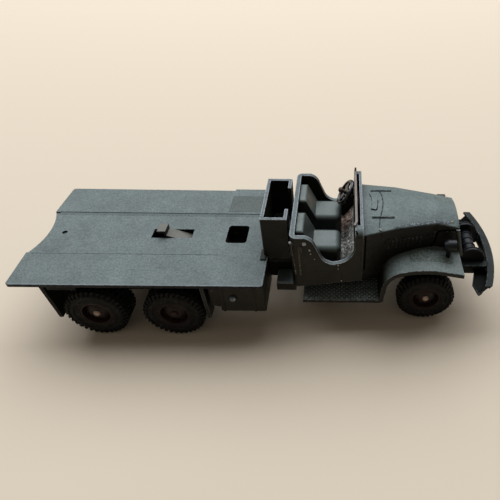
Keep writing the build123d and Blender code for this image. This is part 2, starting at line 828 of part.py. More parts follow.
def cab_plan(inset, x_front):
    """The cab's plan: a rectangle with rounded rear corners, drawn in by inset."""
    length = x_front - cab_rear_x - inset
    shape = Rectangle(length, 2 * (cab_half_width - inset))
    rear = shape.vertices().group_by(Axis.X)[0]
    shape = fillet(rear, max(cab_corner_radius - inset, 0.3))
    return Pos(cab_rear_x + inset + length / 2, 0, 0) * shape


def door_cut():
    """The shape taken out of both sides for the doorways."""
    above = cab_rim_z + 9
    sill_head = (cowl_rear_x, door_front_z)
    dip = (door_dip_x, door_dip_z)
    brow_end = (door_brow_end_x, cab_rim_z)
    line = Line((cowl_rear_x, above), sill_head) + ThreePointArc(sill_head, door_front_bow, dip)
    line += ThreePointArc(dip, door_rear_bow, door_ramp_foot) + Line(door_ramp_foot, door_ramp_head)
    line += ThreePointArc(door_ramp_head, door_brow, brow_end)
    line += Polyline(brow_end, (cab_rear_x - 1, cab_rim_z), (cab_rear_x - 1, above), (cowl_rear_x, above))
    wide = cab_half_width + 1
    return side_profile(line, -wide, wide)


def below_cab():
    """The wedge under the right side, whose lower edge rises towards the front."""
    low = cab_bottom_z - 1
    outline = Polyline(
        (cab_rear_x - 1, low), (cab_front_x + 1, low), (cab_front_x + 1, cab_bottom_front_z),
        (cab_rear_x - 1, cab_bottom_z), close=True,
    )
    return side_profile(outline, -cab_half_width - 1, -rail_outer_y)


def cab():
    """The open cab: rear wall, low-cut sides and a cowl with the windscreen groove."""
    height = cowl_top_z - cab_bottom_z
    outer = Pos(0, 0, cab_bottom_z) * extrude(cab_plan(0, cab_front_x), amount=height, dir=(0, 0, 1))
    inner_plan = cab_plan(cab_wall, cowl_rear_x)
    inner = Pos(0, 0, cab_bottom_z - 1) * extrude(inner_plan, amount=height + 2, dir=(0, 0, 1))
    outer = fillet(outer.edges().filter_by(Axis.X).group_by(Axis.Z)[-1], cowl_corner_radius)
    body = outer - inner - door_cut() - below_cab() - mirrored(below_cab())
    groove_x = cowl_rear_x + cowl_lip
    groove_y = cab_half_width - cowl_corner_radius - cowl_groove_margin
    body -= block(groove_x, groove_x + cowl_groove_width, -groove_y, groove_y,
                  cowl_top_z - cowl_groove_depth, cowl_top_z + 1)
    between_rails = block(cab_rear_x - 1, cab_front_x + 1, -rail_outer_y, rail_outer_y, 0, rail_top_z)
    return body - between_rails


def cab_floor():
    """The cab's floor with its toe board, lying on the frame."""
    y = cab_half_width - cab_wall
    top = rail_top_z + floor_sheet
    rear = cab_rear_x + cab_wall
    foot = cowl_rear_x - toe_board_length
    outline = Polyline(
        (rear, rail_top_z), (cowl_rear_x, rail_top_z), (cowl_rear_x, top + toe_board_rise),
        (foot, top), (rear, top), close=True,
    )
    plan = extrude(cab_plan(cab_wall, cowl_rear_x), amount=cab_rim_z, dir=(0, 0, 1))
    return side_profile(outline, -y, y) & plan


def windscreen_rail():
    """What is left of the windscreen: its foot rail, bent back at the right, and a pin at the left."""
    x0 = cowl_rear_x
    x1 = x0 + cowl_lip
    outline = Polyline(
        (x0, rail_bar_far_y), (x0, rail_bar_bend_y), (x0 - rail_bar_bend, rail_bar_end_y),
        (x1 - rail_bar_bend, rail_bar_end_y), (x1, rail_bar_bend_y), (x1, rail_bar_far_y), close=True,
    )
    body = Pos(0, 0, cowl_top_z) * extrude(make_face(outline), amount=rail_bar_height, dir=(0, 0, 1))
    x = (x0 + x1) / 2
    y = rail_bar_far_y - rail_pin_radius
    foot = cowl_top_z + rail_bar_height / 2
    return body + rod(rail_pin_radius, (x, y, foot), (x, y, cowl_top_z + rail_pin_height))


def seats():
    """Two moulded seats on one base, a single insert."""
    floor = rail_top_z + floor_sheet
    back_front = seat_rear_x + seat_back_top_length
    outline = Polyline(
        (seat_rear_x, floor), (seat_rear_x, seat_back_top_z), (back_front, seat_back_top_z),
        (seat_rear_x + seat_back_foot, seat_top_z), (seat_front_x, seat_top_z), (seat_front_x, floor),
        close=True,
    )
    seat = side_profile(outline, -seat_half_gap - seat_width, -seat_half_gap)
    nose = seat.edges().filter_by(Axis.Y).filter_by_position(Axis.X, seat_front_x - 0.1, seat_front_x + 0.1)
    seat = fillet(nose.group_by(Axis.Z)[-1], seat_nose_radius)
    cushion = seat.edges().filter_by(Axis.Z).group_by(Axis.X)[-1]
    seat = fillet(cushion, seat_corner_radius)
    back_top = seat.edges().group_by(Axis.Z)[-1].filter_by(lambda e: e.center().X > seat_rear_x + 0.2)
    seat = fillet(back_top, seat_radius)
    half = seat_half_gap + 0.5
    base = block(seat_rear_x, seat_front_x - seat_base_setback, -half, half, floor, seat_base_z)
    return seat + mirrored(seat) + base


def steering_axis():
    """The plane of the steering wheel, its normal along the column towards the driver."""
    tilt = math.radians(steering_tilt)
    normal = (-math.cos(tilt), 0, math.sin(tilt))
    return Plane(origin=(steering_x, steering_y, steering_z), x_dir=(0, 1, 0), z_dir=normal)


def steering_wheel():
    """A ring with three spokes and a small hub."""
    plane = steering_axis()
    tube = RegularPolygon(steering_tube_radius, 6)
    body = plane * revolve(Plane.XZ * (Pos(steering_radius, 0) * tube), axis=Axis.Z)
    body += plane * Cylinder(steering_hub_radius, steering_hub_length)
    spoke_length = steering_radius - steering_tube_radius
    for number in range(3):
        spoke = Box(spoke_length, steering_spoke_width, steering_spoke_sheet)
        spoke = Pos(steering_radius / 2, 0, 0) * spoke
        body += plane * Rotation(0, 0, 90 + 120 * number) * spoke
    return body - plane * Cylinder(column_radius, 4)


def steering_column():
    """A rod from the cowl to the wheel, hammered over at its end like a rivet."""
    plane = steering_axis()
    reach = (cowl_rear_x - steering_x) / math.cos(math.radians(steering_tilt))
    stem = Cylinder(column_radius, reach + column_stub + 1)
    body = plane * Pos(0, 0, (column_stub - reach - 1) / 2) * stem
    head = Cone(column_head_radius, column_radius, column_head_length)
    body += plane * Pos(0, 0, column_stub) * head
    return body - block(cowl_rear_x, 0, -cab_half_width, cab_half_width, 0, 2 * cowl_top_z)


def headlamp():
    """A drum lamp on a stem that stands on the wing."""
    rear = lamp_x - lamp_length / 2
    front = lamp_x + lamp_length / 2
    glass = front - lamp_bezel
    profile = Polyline(
        (0, rear), (lamp_back_radius, rear), (lamp_radius, rear + lamp_bowl_depth), (lamp_radius, front),
        (lamp_radius - lamp_bezel, front), (lamp_radius - lamp_bezel, glass), (0, glass), close=True,
    )
    bowl = revolve(make_face(Plane.XZ * profile), axis=Axis.Z)
    body = Pos(0, -lamp_y, lamp_z) * Rotation(0, 90, 0) * bowl
    wide = lamp_y + 3
    stem_top = lamp_z - lamp_radius + lamp_bezel
    body += rod(lamp_stem_radius, (lamp_x, -lamp_y, wing_top_z - lamp_length), (lamp_x, -lamp_y, stem_top))
    return body - below_wings(-wide, wide)


def winch():
    """A winch between the frame horns: two flanges on arms, a drum and a cross bar."""
    inner = rail_outer_y - rail_wall
    half = winch_flange_width / 2
    body = rod(winch_drum_radius, (winch_x, -winch_flange_y, winch_z), (winch_x, winch_flange_y, winch_z))
    for side in (-1, 1):
        y = side * (winch_flange_y - half)
        body += rod(winch_flange_radius, (winch_x, y - half, winch_z), (winch_x, y + half, winch_z))
        body += block(winch_bar_x, winch_x, y - half, y + half,
                      winch_z - winch_arm_rise, winch_z + winch_arm_rise)
    bar_z = rail_top_z - winch_bar_drop
    return body + rod(winch_bar_radius, (winch_bar_x, -inner, bar_z), (winch_bar_x, inner, bar_z))


def centred(shape):
    """The piece moved so that the truck's middle is over the origin."""
    return Pos(-origin_x, -origin_y, 0) * shape


pieces = {
    "frame": frame(),
    "bogie_springs": bogie(),
    "wings_and_boards": wings(),
    "bonnet": bonnet(),
    "cab": cab(),
    "cab_floor": cab_floor(),
    "windscreen_rail": windscreen_rail(),
    "seats": seats(),
    "steering_wheel": steering_wheel(),
    "steering_column": steering_column(),
    "radiator_grille": grille(),
    "grille_guard": grille_guard(),
    "winch": winch(),
    "bumper": bumper(),
    "deck": deck(),
    "deck_sills": sills(),
    "latch_spring": latch_spring(),
    "spare_wheel_carrier": carrier(),
    "fuel_tank": side_box(True),
    "tool_box": mirrored(side_box(False)),
    "step_box_right": step_box(),
    "step_box_left": mirrored(step_box()),
    "headlamp_right": headlamp(),
    "headlamp_left": mirrored(headlamp()),
    "front_axle": axle(0.0, front_face_y),
    "middle_axle": axle(middle_axle_x, rear_face_y),
    "rear_axle": axle(rear_axle_x, rear_face_y),
}

# columns: name, station, lean
flaps = (("front", front_flap_x, front_flap_lean), ("rear", rear_flap_x, rear_flap_lean))
for name, x, lean in flaps:
    flap = mud_flap(x, lean)
    pieces["mud_flap_" + name + "_right"] = flap
    pieces["mud_flap_" + name + "_left"] = mirrored(flap)

front_spring_rise = rail_bottom_z - wheel_radius - axle_radius - 3 * spring_leaf
front_spring = leaf_spring(0.0, front_spring_span, front_spring_rise, front_spring_y, rail_bottom_z)
pieces["front_springs"] = front_spring + mirrored(front_spring)

# columns: name, station, outer face, tyre width, lugs, twin
axles = (
    ("front", 0.0, front_face_y, front_tyre_width, front_lug_count, False),
    ("middle", middle_axle_x, rear_face_y, rear_tyre_width, rear_lug_count, True),
    ("rear", rear_axle_x, rear_face_y, rear_tyre_width, rear_lug_count, True),
)
for name, x, face_y, width, lugs, twin in axles:
    one_tyre = tyre(width, lugs, twin)
    one_hub = hub(width)
    for side, side_name in ((-1, "right"), (1, "left")):
        place = wheel_place(x, face_y, side)
        pieces["tyre_" + name + "_" + side_name] = place * one_tyre
        pieces["hub_" + name + "_" + side_name] = place * one_hub

os.makedirs("parts", exist_ok=True)
for name, shape in pieces.items():
    export_step(centred(shape), "parts/" + name + ".step")
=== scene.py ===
import json
import logging
import math
from dataclasses import dataclass
from enum import Enum
from functools import cache
from typing import Any

import bpy
from mathutils import Matrix, Vector, noise
from mathutils.bvhtree import BVHTree


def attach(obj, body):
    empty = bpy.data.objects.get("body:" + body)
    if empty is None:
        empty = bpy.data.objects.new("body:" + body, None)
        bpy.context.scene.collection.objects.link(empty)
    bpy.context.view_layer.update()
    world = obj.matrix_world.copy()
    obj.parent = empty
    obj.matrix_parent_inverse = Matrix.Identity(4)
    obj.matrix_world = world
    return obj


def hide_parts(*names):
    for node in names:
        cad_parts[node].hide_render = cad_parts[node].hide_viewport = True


# A die-cast toy of a six-wheeled military cargo truck, dressed over its CAD frame.
# Places are given in truck millimetres: x forwards from the front axle, y to the
# truck's left from its middle plane, z up from the ground.

LOG = logging.getLogger("toy_truck")
MM = 0.001
FRONT_AXLE_X = 55.8
MIDDLE_PLANE_Y = -0.5
CHASSIS = "chassis"
BOX_FACES = [(0, 1, 3, 2), (4, 6, 7, 5), (0, 4, 5, 1), (2, 3, 7, 6), (0, 2, 6, 4), (1, 5, 7, 3)]

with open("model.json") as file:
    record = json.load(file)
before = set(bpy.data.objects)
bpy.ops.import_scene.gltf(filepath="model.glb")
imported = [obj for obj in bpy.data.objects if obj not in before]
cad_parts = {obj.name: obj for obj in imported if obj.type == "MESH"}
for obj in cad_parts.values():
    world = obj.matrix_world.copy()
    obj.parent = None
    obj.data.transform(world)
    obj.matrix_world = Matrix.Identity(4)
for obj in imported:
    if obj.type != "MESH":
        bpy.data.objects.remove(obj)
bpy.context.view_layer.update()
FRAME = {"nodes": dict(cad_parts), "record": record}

Tree = bpy.types.NodeTree
Socket = bpy.types.NodeSocket
Piece = bpy.types.Object
Pair = tuple[float, float]
Triple = tuple[float, float, float]


def spot(x: float, y: float, z: float) -> Vector:
    """Turns truck millimetres into the frame's metres.

    Args:
        x: station from the front axle.
        y: distance to the left of the middle plane.
        z: height over the ground.

    Returns:
        The place in the frame.
    """
    return Vector(((x + FRONT_AXLE_X) * MM, (y + MIDDLE_PLANE_Y) * MM, z * MM))


def linear(code: str) -> tuple[float, float, float, float]:
    """Turns an sRGB hex colour into linear values with full alpha.

    Args:
        code: six hex digits.

    Returns:
        Red, green, blue and alpha.
    """
    parts = [int(code[i:i + 2], 16) / 255 for i in (0, 2, 4)]
    bend = [p / 12.92 if p <= 0.04045 else ((p + 0.055) / 1.055) ** 2.4 for p in parts]
    return bend[0], bend[1], bend[2], 1.0


def add_node(tree: Tree, kind: str, inputs: dict[Any, Any] | None = None,
             **settings: Any) -> bpy.types.Node:
    """Adds a node with its settings and links.

    Args:
        tree: the tree that gets the node.
        kind: the node's type name.
        inputs: for an input's name or number, a value or another node's output.
        settings: the node's own properties.

    Returns:
        The new node.
    """
    made = tree.nodes.new(kind)
    for key, value in settings.items():
        setattr(made, key, value)
    for key, value in (inputs or {}).items():
        if isinstance(value, Socket):
            tree.links.new(value, made.inputs[key])
        else:
            made.inputs[key].default_value = value
    return made


def bare_tree(owner: bpy.types.Material | bpy.types.World) -> Tree:
    """Turns on an owner's nodes and clears them away.

    Args:
        owner: the material or world.

    Returns:
        Its empty tree.
    """
    owner.use_nodes = True
    owner.node_tree.nodes.clear()
    return owner.node_tree


# Spans of values that the materials map from.
SPREAD = (0.3, 0.7)  # where most of a noise lies
FACING = (0.25, 0.9)  # a normal's upward part, from side to upper face
HOLLOW = (0.15, 0.75)  # free space over a point, from hollow to open
CONVEX = (0.7, 0.92)  # free space over a point, from flat to outer edge
EDGE = (0.97, 0.86)  # how far a rounded normal agrees with its face, from flat to edge
HANDLED = (0.0, 0.5)  # a rounded normal's upward part, from untouched to handled
FLECKED = (0.62, 0.68)  # a noise, from whole to flecked, before the ease
CHIPPED = (0.62, 0.7)  # a noise, from whole to chipped, before the ease
SAMPLES = 6  # rays of each bevel and each occlusion node


@dataclass(frozen=True)
class Weave:
    """The nodes of one material, on the object's own coordinates.

    Attributes:
        tree: the material's tree.
        place: the socket with those coordinates.
    """

    tree: Tree
    place: Socket

    def noise(self, size_mm: float, detail: float = 3.0, roughness: float = 0.5) -> Socket:
        """Gives a noise whose features are size_mm long."""
        sizes = {"Scale": 1 / (size_mm * MM), "Detail": detail, "Roughness": roughness}
        return add_node(self.tree, "ShaderNodeTexNoise", {"Vector": self.place, **sizes}).outputs[0]

    def ramp(self, value: Socket, span: Pair, start: float = 0.0, end: float = 1.0,
             curve: str = "LINEAR", ease: float = 0.0) -> Socket:
        """Maps a value in a span to one between start and end.

        Args:
            value: what is mapped.
            span: the values that give start and end.
            start: the result at the span's first value.
            end: the result at its last.
            curve: how the result goes between them.
            ease: how much lower the whole span lies.

        Returns:
            The result.
        """
        return add_node(self.tree, "ShaderNodeMapRange", {
            "Value": value, "From Min": span[0] - ease, "From Max": span[1] - ease, "To Min": start,
            "To Max": end}, interpolation_type=curve).outputs[0]

    def spread(self, value: Socket, middle: float, part: float) -> Socket:
        """Maps a noise to values up to part away from a middle one."""
        return self.ramp(value, SPREAD, middle - part, middle + part)

    def times(self, first: Socket, *others: Socket) -> Socket:
        """Multiplies values, from left to right.

        Args:
            first: the first value.
            others: what it is multiplied by.

        Returns:
            The product.
        """
        for other in others:
            product = add_node(self.tree, "ShaderNodeMath", {0: first, 1: other}, operation="MULTIPLY")
            first = product.outputs[0]
        return first

    def blend(self, amount: Socket, under: Any, over: Any) -> Socket:
        """Lays one colour over another by an amount."""
        mixed = add_node(self.tree, "ShaderNodeMix", {0: amount, 6: under, 7: over}, data_type="RGBA")
        return mixed.outputs[2]

    def up(self, normal: Socket) -> Socket:
        """Tells how far a normal points up."""
        return add_node(self.tree, "ShaderNodeSeparateXYZ", {0: normal}).outputs[2]

    def rounded(self, radius_mm: float) -> Socket:
        """Gives the normal with its edges rounded."""
        return add_node(self.tree, "ShaderNodeBevel", {"Radius": radius_mm * MM}, samples=SAMPLES).outputs[0]

    def air(self, reach_mm: float) -> Socket:
        """Tells how free the space over a point is."""
        return add_node(self.tree, "ShaderNodeAmbientOcclusion", {"Distance": reach_mm * MM},
                        samples=SAMPLES).outputs["AO"]


class Wear(Enum):
    """How far a painted edge is rubbed down to the metal."""

    NONE = 0.0
    LIGHT = 0.45
    HEAVY = 0.8


@dataclass(frozen=True)
class Finish:
    """A material: its tones by facing, with painted shade on the sides, mottle, specks, dirt and painted
    shade in corners, grain, gloss and worn edges.

    The grain of a real coat is finer, and is drawn only as coarse as it needs to show.

    Attributes:
        label: the material's name.
        side_hex: its colour where it faces sideways or down, darkened as painted shade.
        top_hex: its colour where it faces up, paler with dust and painted light.
        roughness: its middle roughness.
        metallic: how far it is bare metal.
        grain_mm: how long the grain's features are.
        grain_depth_mm: how deep the grain is.
        mottle_mm: how long the broad patches are.
        mottle: how much lighter or darker they get.
        cavity_hex: the colour of the dirt and painted shade in corners.
        cavity_mm: how far from a corner the dirt and painted shade reach.
        cavity: how much of a corner's colour is dirt and painted shade, up to 1.
        rounding_mm: the radius that the edges seem to have.
        worn_hex: the colour of rubbed edges and of flecks.
        wear: how far its edges are rubbed.
        worn_mm: how wide the rubbed edges are.
        chip_mm: how long the breaks along them are.
        bare_mm: how near another surface keeps an edge unrubbed.
        speckle_mm: how long the fine specks are.
        speckle: how much lighter or darker they get.
        shine: its specular level.
        smear_mm: how long the patches of other roughness are.
        smear: how much rougher or smoother they get.
        flecks: how thickly it is flecked, with 0 for none.
    """

    label: str
    side_hex: str
    top_hex: str
    roughness: float = 0.5
    metallic: float = 0.0
    grain_mm: float = 0.35
    grain_depth_mm: float = 0.02
    mottle_mm: float = 7.0
    mottle: float = 0.12
    cavity_hex: str = "0c0a06"
    cavity_mm: float = 2.0
    cavity: float = 0.6
    rounding_mm: float = 0.3
    worn_hex: str = "8d9598"
    wear: Wear = Wear.NONE
    worn_mm: float = 0.6
    chip_mm: float = 1.6
    bare_mm: float = 0.8
    speckle_mm: float = 0.8
    speckle: float = 0.1
    shine: float = 0.25
    smear_mm: float = 3.0
    smear: float = 0.07
    flecks: float = 0.0

    def material(self) -> bpy.types.Material:
        """Builds the node material, or gives the one that is there already.

        Returns:
            The material.
        """
        known = bpy.data.materials.get(self.label)
        if known:
            return known
        made = bpy.data.materials.new(self.label)
        tree = bare_tree(made)
        weave = Weave(tree, add_node(tree, "ShaderNodeTexCoord").outputs["Object"])
        tone = self.tone(weave)
        normal = self.surface(weave)
        gloss = weave.spread(weave.noise(self.smear_mm), self.roughness, self.smear)
        shader = add_node(tree, "ShaderNodeBsdfPrincipled", {
            "Base Color": tone, "Roughness": gloss, "Metallic": self.metallic,
            "Specular IOR Level": self.shine, "Normal": normal})
        add_node(tree, "ShaderNodeOutputMaterial", {"Surface": shader.outputs[0]})
        return made

    def tone(self, weave: Weave) -> Socket:
        """Mixes the colour: painted shade on the sides, dust and painted light on upper faces, dirt and
        painted shade in corners, worn edges.

        Args:
            weave: the material's nodes.

        Returns:
            The colour socket.
        """
        flat = add_node(weave.tree, "ShaderNodeNewGeometry").outputs["True Normal"]
        # painted shade: the side colour where a face turns sideways, the paler top colour, with dust and
        # painted light, where it faces up
        upward = weave.ramp(weave.up(flat), FACING, curve="SMOOTHSTEP")
        broad = weave.noise(self.mottle_mm, 4.0, 0.6)
        fine = weave.noise(self.speckle_mm, 4.0, 0.75)
        shade = weave.times(weave.spread(broad, 1, self.mottle), weave.spread(fine, 1, self.speckle))
        base = weave.blend(upward, linear(self.side_hex), linear(self.top_hex))
        shaded = add_node(weave.tree, "ShaderNodeVectorMath", {0: base, 3: shade}, operation="SCALE")
        toned = shaded.outputs[0]
        if self.flecks:
            sparks = weave.ramp(fine, FLECKED, ease=0.2 * self.flecks)
            toned = weave.blend(sparks, toned, linear(self.worn_hex))
        # dirt and painted shade in hollows, darker where the space over a point is less free
        depth = weave.ramp(weave.air(self.cavity_mm), HOLLOW, self.cavity, 0.0)
        dirt_and_shade = weave.blend(depth, toned, linear(self.cavity_hex))
        return dirt_and_shade if self.wear is Wear.NONE else self.rub(weave, dirt_and_shade, flat)

    def rub(self, weave: Weave, tone: Socket, flat: Socket) -> Socket:
        """Lays worn metal over the convex edges that face up, broken up by a noise.

        Args:
            weave: the material's nodes.
            tone: the colour so far.
            flat: the face's own normal.

        Returns:
            The colour socket with the worn edges.
        """
        rounded = weave.rounded(self.worn_mm)
        same = add_node(weave.tree, "ShaderNodeVectorMath", {0: rounded, 1: flat}, operation="DOT_PRODUCT")
        edge = weave.ramp(same.outputs["Value"], EDGE)
        convex = weave.ramp(weave.air(self.bare_mm), CONVEX)
        handled = weave.ramp(weave.up(rounded), HANDLED, 0.15)
        chips = weave.ramp(weave.noise(self.chip_mm, 5.0, 0.7), CHIPPED, ease=0.3 * self.wear.value)
        return weave.blend(weave.times(edge, convex, handled, chips), tone, linear(self.worn_hex))

    def surface(self, weave: Weave) -> Socket:
        """Gives the surface its fine grain over softly rounded edges.

        Args:
            weave: the material's nodes.

        Returns:
            The normal socket.
        """
        return add_node(weave.tree, "ShaderNodeBump", {
            "Height": weave.noise(self.grain_mm), "Distance": self.grain_depth_mm * MM, "Strength": 1.0,
            "Normal": weave.rounded(self.rounding_mm)}).outputs[0]


# Enamel over a zinc casting: a thick satin coat, painted near black as shade where it turns from the light,
# with pale dust and painted light on its upper faces and its edges rubbed to bluish grey metal.
CAST_ENAMEL = Finish(
    "zinc casting, olive enamel", "141307", "5a6665", grain_mm=0.9, grain_depth_mm=0.09, worn_hex="b9bdc8",
    wear=Wear.HEAVY, speckle=0.25)
# The same coat on the bonnet, with its edges less rubbed and a coarser skin.
BONNET_ENAMEL = Finish(
    "zinc casting, coarse olive enamel", "110f09", "5c6967", roughness=0.45, grain_mm=1.1,
    grain_depth_mm=0.14, wear=Wear.LIGHT, speckle=0.3)
# The same coat on the wings, dusty and unevenly dark.
WING_ENAMEL = Finish(
    "zinc casting, gritty olive enamel", "110f09", "65706d", grain_mm=0.9, grain_depth_mm=0.14, mottle=0.2,
    worn_hex="9aa2a8", wear=Wear.LIGHT, speckle=0.35)
# The same coat on the tank and the tool box, unrubbed.
TANK_ENAMEL = Finish("zinc casting, unrubbed enamel", "151206", "4a5452", speckle=0.2)
# The same coat on the bumper, the frame and the rear flaps, hardly rubbed and darker, partly as painted
# shade;
# also the painted shade lines of the bonnet's bars and mouldings and of the deck's creases.
DARK_ENAMEL_AND_SHADE = Finish(
    "zinc casting, dark enamel and painted shade", "0d0e0a", "222826", roughness=0.6, worn_hex="6c7676", wear=Wear.LIGHT,
    speckle=0.2, shine=0.15)
# Enamel over pressed steel: flatter and dustier, mottled by handling.
DECK_ENAMEL = Finish(
    "pressed steel, grey enamel", "07090a", "636e6d", roughness=0.6, grain_mm=0.8, grain_depth_mm=0.08,
    mottle_mm=11.0, mottle=0.14, cavity=0.2, worn_hex="8f999b", wear=Wear.LIGHT, worn_mm=0.45,
    speckle_mm=0.6, speckle=0.38)
# The darker patch on the deck's far wing, where something lay.
PATCH_ENAMEL = Finish(
    "pressed steel, patch of bare enamel", "0f1210", "535c59", roughness=0.6, grain_mm=0.8,
    grain_depth_mm=0.08, mottle_mm=6.0, speckle_mm=0.6, speckle=0.38)
# Smooth moulded polystyrene for the seats, with hardly any grain and soft edges.
SEAT_STYRENE = Finish(
    "moulded polystyrene, grey green", "2b302c", "55615d", roughness=0.42, grain_depth_mm=0.004,
    mottle=0.05, rounding_mm=0.6, speckle=0.12, shine=0.4)
# Glossy moulded polystyrene of the steering wheel.
BLACK_STYRENE = Finish(
    "moulded polystyrene, blue black", "08090c", "171b20", roughness=0.24, grain_depth_mm=0.004,
    mottle=0.08, shine=0.6)
# The headlamps' moulded polystyrene, duller.
LAMP_STYRENE = Finish(
    "moulded polystyrene, dull blue black", "06070a", "10151b", roughness=0.42, grain_depth_mm=0.004,
    mottle=0.08, shine=0.3)
# Matt moulded polystyrene of the winch, blue black.
WINCH_STYRENE = Finish(
    "moulded polystyrene, matt blue black", "06070a", "111419", grain_depth_mm=0.006, mottle=0.08,
    worn_hex="4a505c", wear=Wear.LIGHT)
# Worn bare zinc, once painted.
BARE_ZINC = Finish("bare zinc, worn", "4a423b", "7c726b", metallic=0.1, mottle_mm=2.0, mottle=0.25)
# The bonnet's and the cowl's coat where it is rubbed to bluish flecks; along the bonnet's near shoulder it
# also paints the highlight.
FLECKED_ENAMEL = Finish(
    "zinc casting, enamel rubbed to flecks", "110f09", "4a5554", roughness=0.45, grain_mm=1.0,
    grain_depth_mm=0.2, mottle_mm=3.0, mottle=0.3, worn_hex="7b8590", speckle_mm=1.0, speckle=0.5,
    flecks=0.5)
# The wings' coat beside the bonnet, greener, with grit in it.
GRITTY_ENAMEL = Finish(
    "zinc casting, enamel with grit", "110f09", "56605a", roughness=0.55, grain_mm=0.7, grain_depth_mm=0.15,
    mottle_mm=3.0, mottle=0.25, worn_hex="868e8a", speckle_mm=0.7, speckle=0.5, flecks=0.12)
# Bare zinc studs, bright where hands rub them.
STUD_ZINC = Finish(
    "zinc stud, rubbed bright", "a4a8ac", "b4b8bc", roughness=0.4, metallic=0.1, mottle_mm=1.5, mottle=0.25,
    speckle=0.3)
# The latch spring's sheet steel, dull and brown.
SPRING_STEEL = Finish(
    "sheet steel, dull brown", "24211d", "66655f", metallic=0.1, mottle_mm=3.0, mottle=0.2)
# A steel rod with a hammered end, dull pink with tarnish.
ROD_STEEL = Finish(
    "steel rod, tarnished", "a08a7e", "b4a195", roughness=0.45, metallic=0.1, mottle_mm=1.0, mottle=0.35)
# The brown riveted end of the steering column.
COLUMN_STEEL = Finish("steel rivet, brown", "3a3029", "5f5245", roughness=0.45, mottle_mm=1.0, mottle=0.25)
# Dull brown-black paint in the wheel hubs.
HUB_ENAMEL = Finish("hub, dull enamel", "1e120e", "33231d", cavity=0.4, worn_hex="453b34", wear=Wear.LIGHT)
# Dusty moulded rubber, blacker between the lugs as painted shade.
TYRE_RUBBER = Finish(
    "moulded rubber, dusty", "0d0c0a", "1a1917", roughness=0.75, grain_mm=0.6, mottle_mm=2.5, mottle=0.35,
    cavity_hex="020202", cavity_mm=1.2, cavity=0.7, worn_hex="4c4a46", speckle=0.5, flecks=0.06)
# Rough unpainted casting inside the cab, brown with dirt, lightened as painted light against the cab's shade.
CAB_CASTING = Finish(
    "zinc casting, dirty inside", "5f5044", "ad968a", roughness=0.8, grain_mm=0.9, grain_depth_mm=0.15,
    mottle_mm=4.0, mottle=0.35, cavity_mm=0.8, worn_hex="c8bab0", speckle_mm=1.2, speckle=0.6, flecks=0.15)
# The same casting towards the right door, rubbed lighter, with bright flecks, also lightened as painted
# light.
CAB_CASTING_PALE = Finish(
    "zinc casting, rubbed pale inside", "6f6e66", "9b9b95", roughness=0.6, grain_mm=0.8,
    grain_depth_mm=0.15, mottle_mm=3.0, mottle=0.25, cavity_mm=0.6, worn_hex="eceef0", speckle_mm=1.0,
    speckle=0.6, flecks=0.35)
# Enamel rubbed pale in the deck's scuffs.
RUBBED_ENAMEL = Finish("enamel, rubbed pale", "44463f", "6f7976", mottle=0.2, speckle=0.3)
# The bonnet's rivets and the curl of its strap, pale grey.
PALE_ENAMEL = Finish("enamel, pale grey edge", "83837c", "8d8d86", mottle=0.15, speckle=0.15)
# The painted highlight along the deck's near and front edges, cool grey.
EDGE_HIGHLIGHT_ENAMEL = Finish("enamel, painted edge highlight, cool grey", "6f777a", "889296", mottle=0.2, speckle=0.25)
# The tab on the deck, dark green and unrubbed.
TAB_ENAMEL = Finish("enamel, dark green", "10140f", "222c25", roughness=0.6, mottle=0.2, speckle=0.2)
# The bumper's lower plates, painted black as the shadow of the bumper's web.
SHADED_ENAMEL = Finish(
    "enamel, painted shadow", "0b0c0a", "121513", roughness=0.7, speckle=0.3, shine=0.1)
# Enamel on the corner straps, rubbed brown, and lighter than the cab's side as painted highlight.
STRAP_ENAMEL = Finish(
    "enamel, rubbed brown, painted highlight", "403c33", "7d7c76", mottle_mm=1.5, mottle=0.35, worn_hex="8a8a86",
    speckle_mm=1.0, speckle=0.6, flecks=0.12)
# Enamel on the raised lozenges of the boards, pale with dust and painted highlight.
TREAD_HIGHLIGHT_ENAMEL = Finish("enamel, tread lozenges, painted highlight", "4c4f48", "b4c0ba", roughness=0.45, mottle=0.2, speckle=0.3)
# The guard's rounded edge, olive grey, lighter than the guard as painted highlight.
GUARD_HIGHLIGHT_ENAMEL = Finish("enamel, olive grey edge highlight", "4a4f49", "666d68", mottle=0.15, speckle=0.25)
# The middle axle's end, painted over in red brown.
PAINTED_STEEL = Finish("steel rod, painted over", "2c1d19", "3a2722", mottle_mm=1.0, mottle=0.25)
# The tank's cap, bluish worn zinc in bright flecks, pale as a painted highlight.
CAP_ZINC = Finish(
    "zinc cap, worn, painted highlight", "5c6670", "6a747e", roughness=0.4, metallic=0.1, mottle_mm=1.0, mottle=0.3,
    worn_hex="c4ccd4", speckle=0.5, flecks=0.4)
# Matt dark gap between castings.
DARK_GAP = Finish("gap between castings", "020201", "040403", roughness=0.9, grain_depth_mm=0.0, shine=0.05)

SLOT_FINISHES = {
    "body_paint": CAST_ENAMEL, "deck_paint": DECK_ENAMEL, "seat_plastic": SEAT_STYRENE,
    "black_plastic": BLACK_STYRENE, "bare_metal": BARE_ZINC, "axle_steel": ROD_STEEL,
    "hub_paint": HUB_ENAMEL, "tyre_rubber": TYRE_RUBBER, "cab_inside": CAB_CASTING,
}

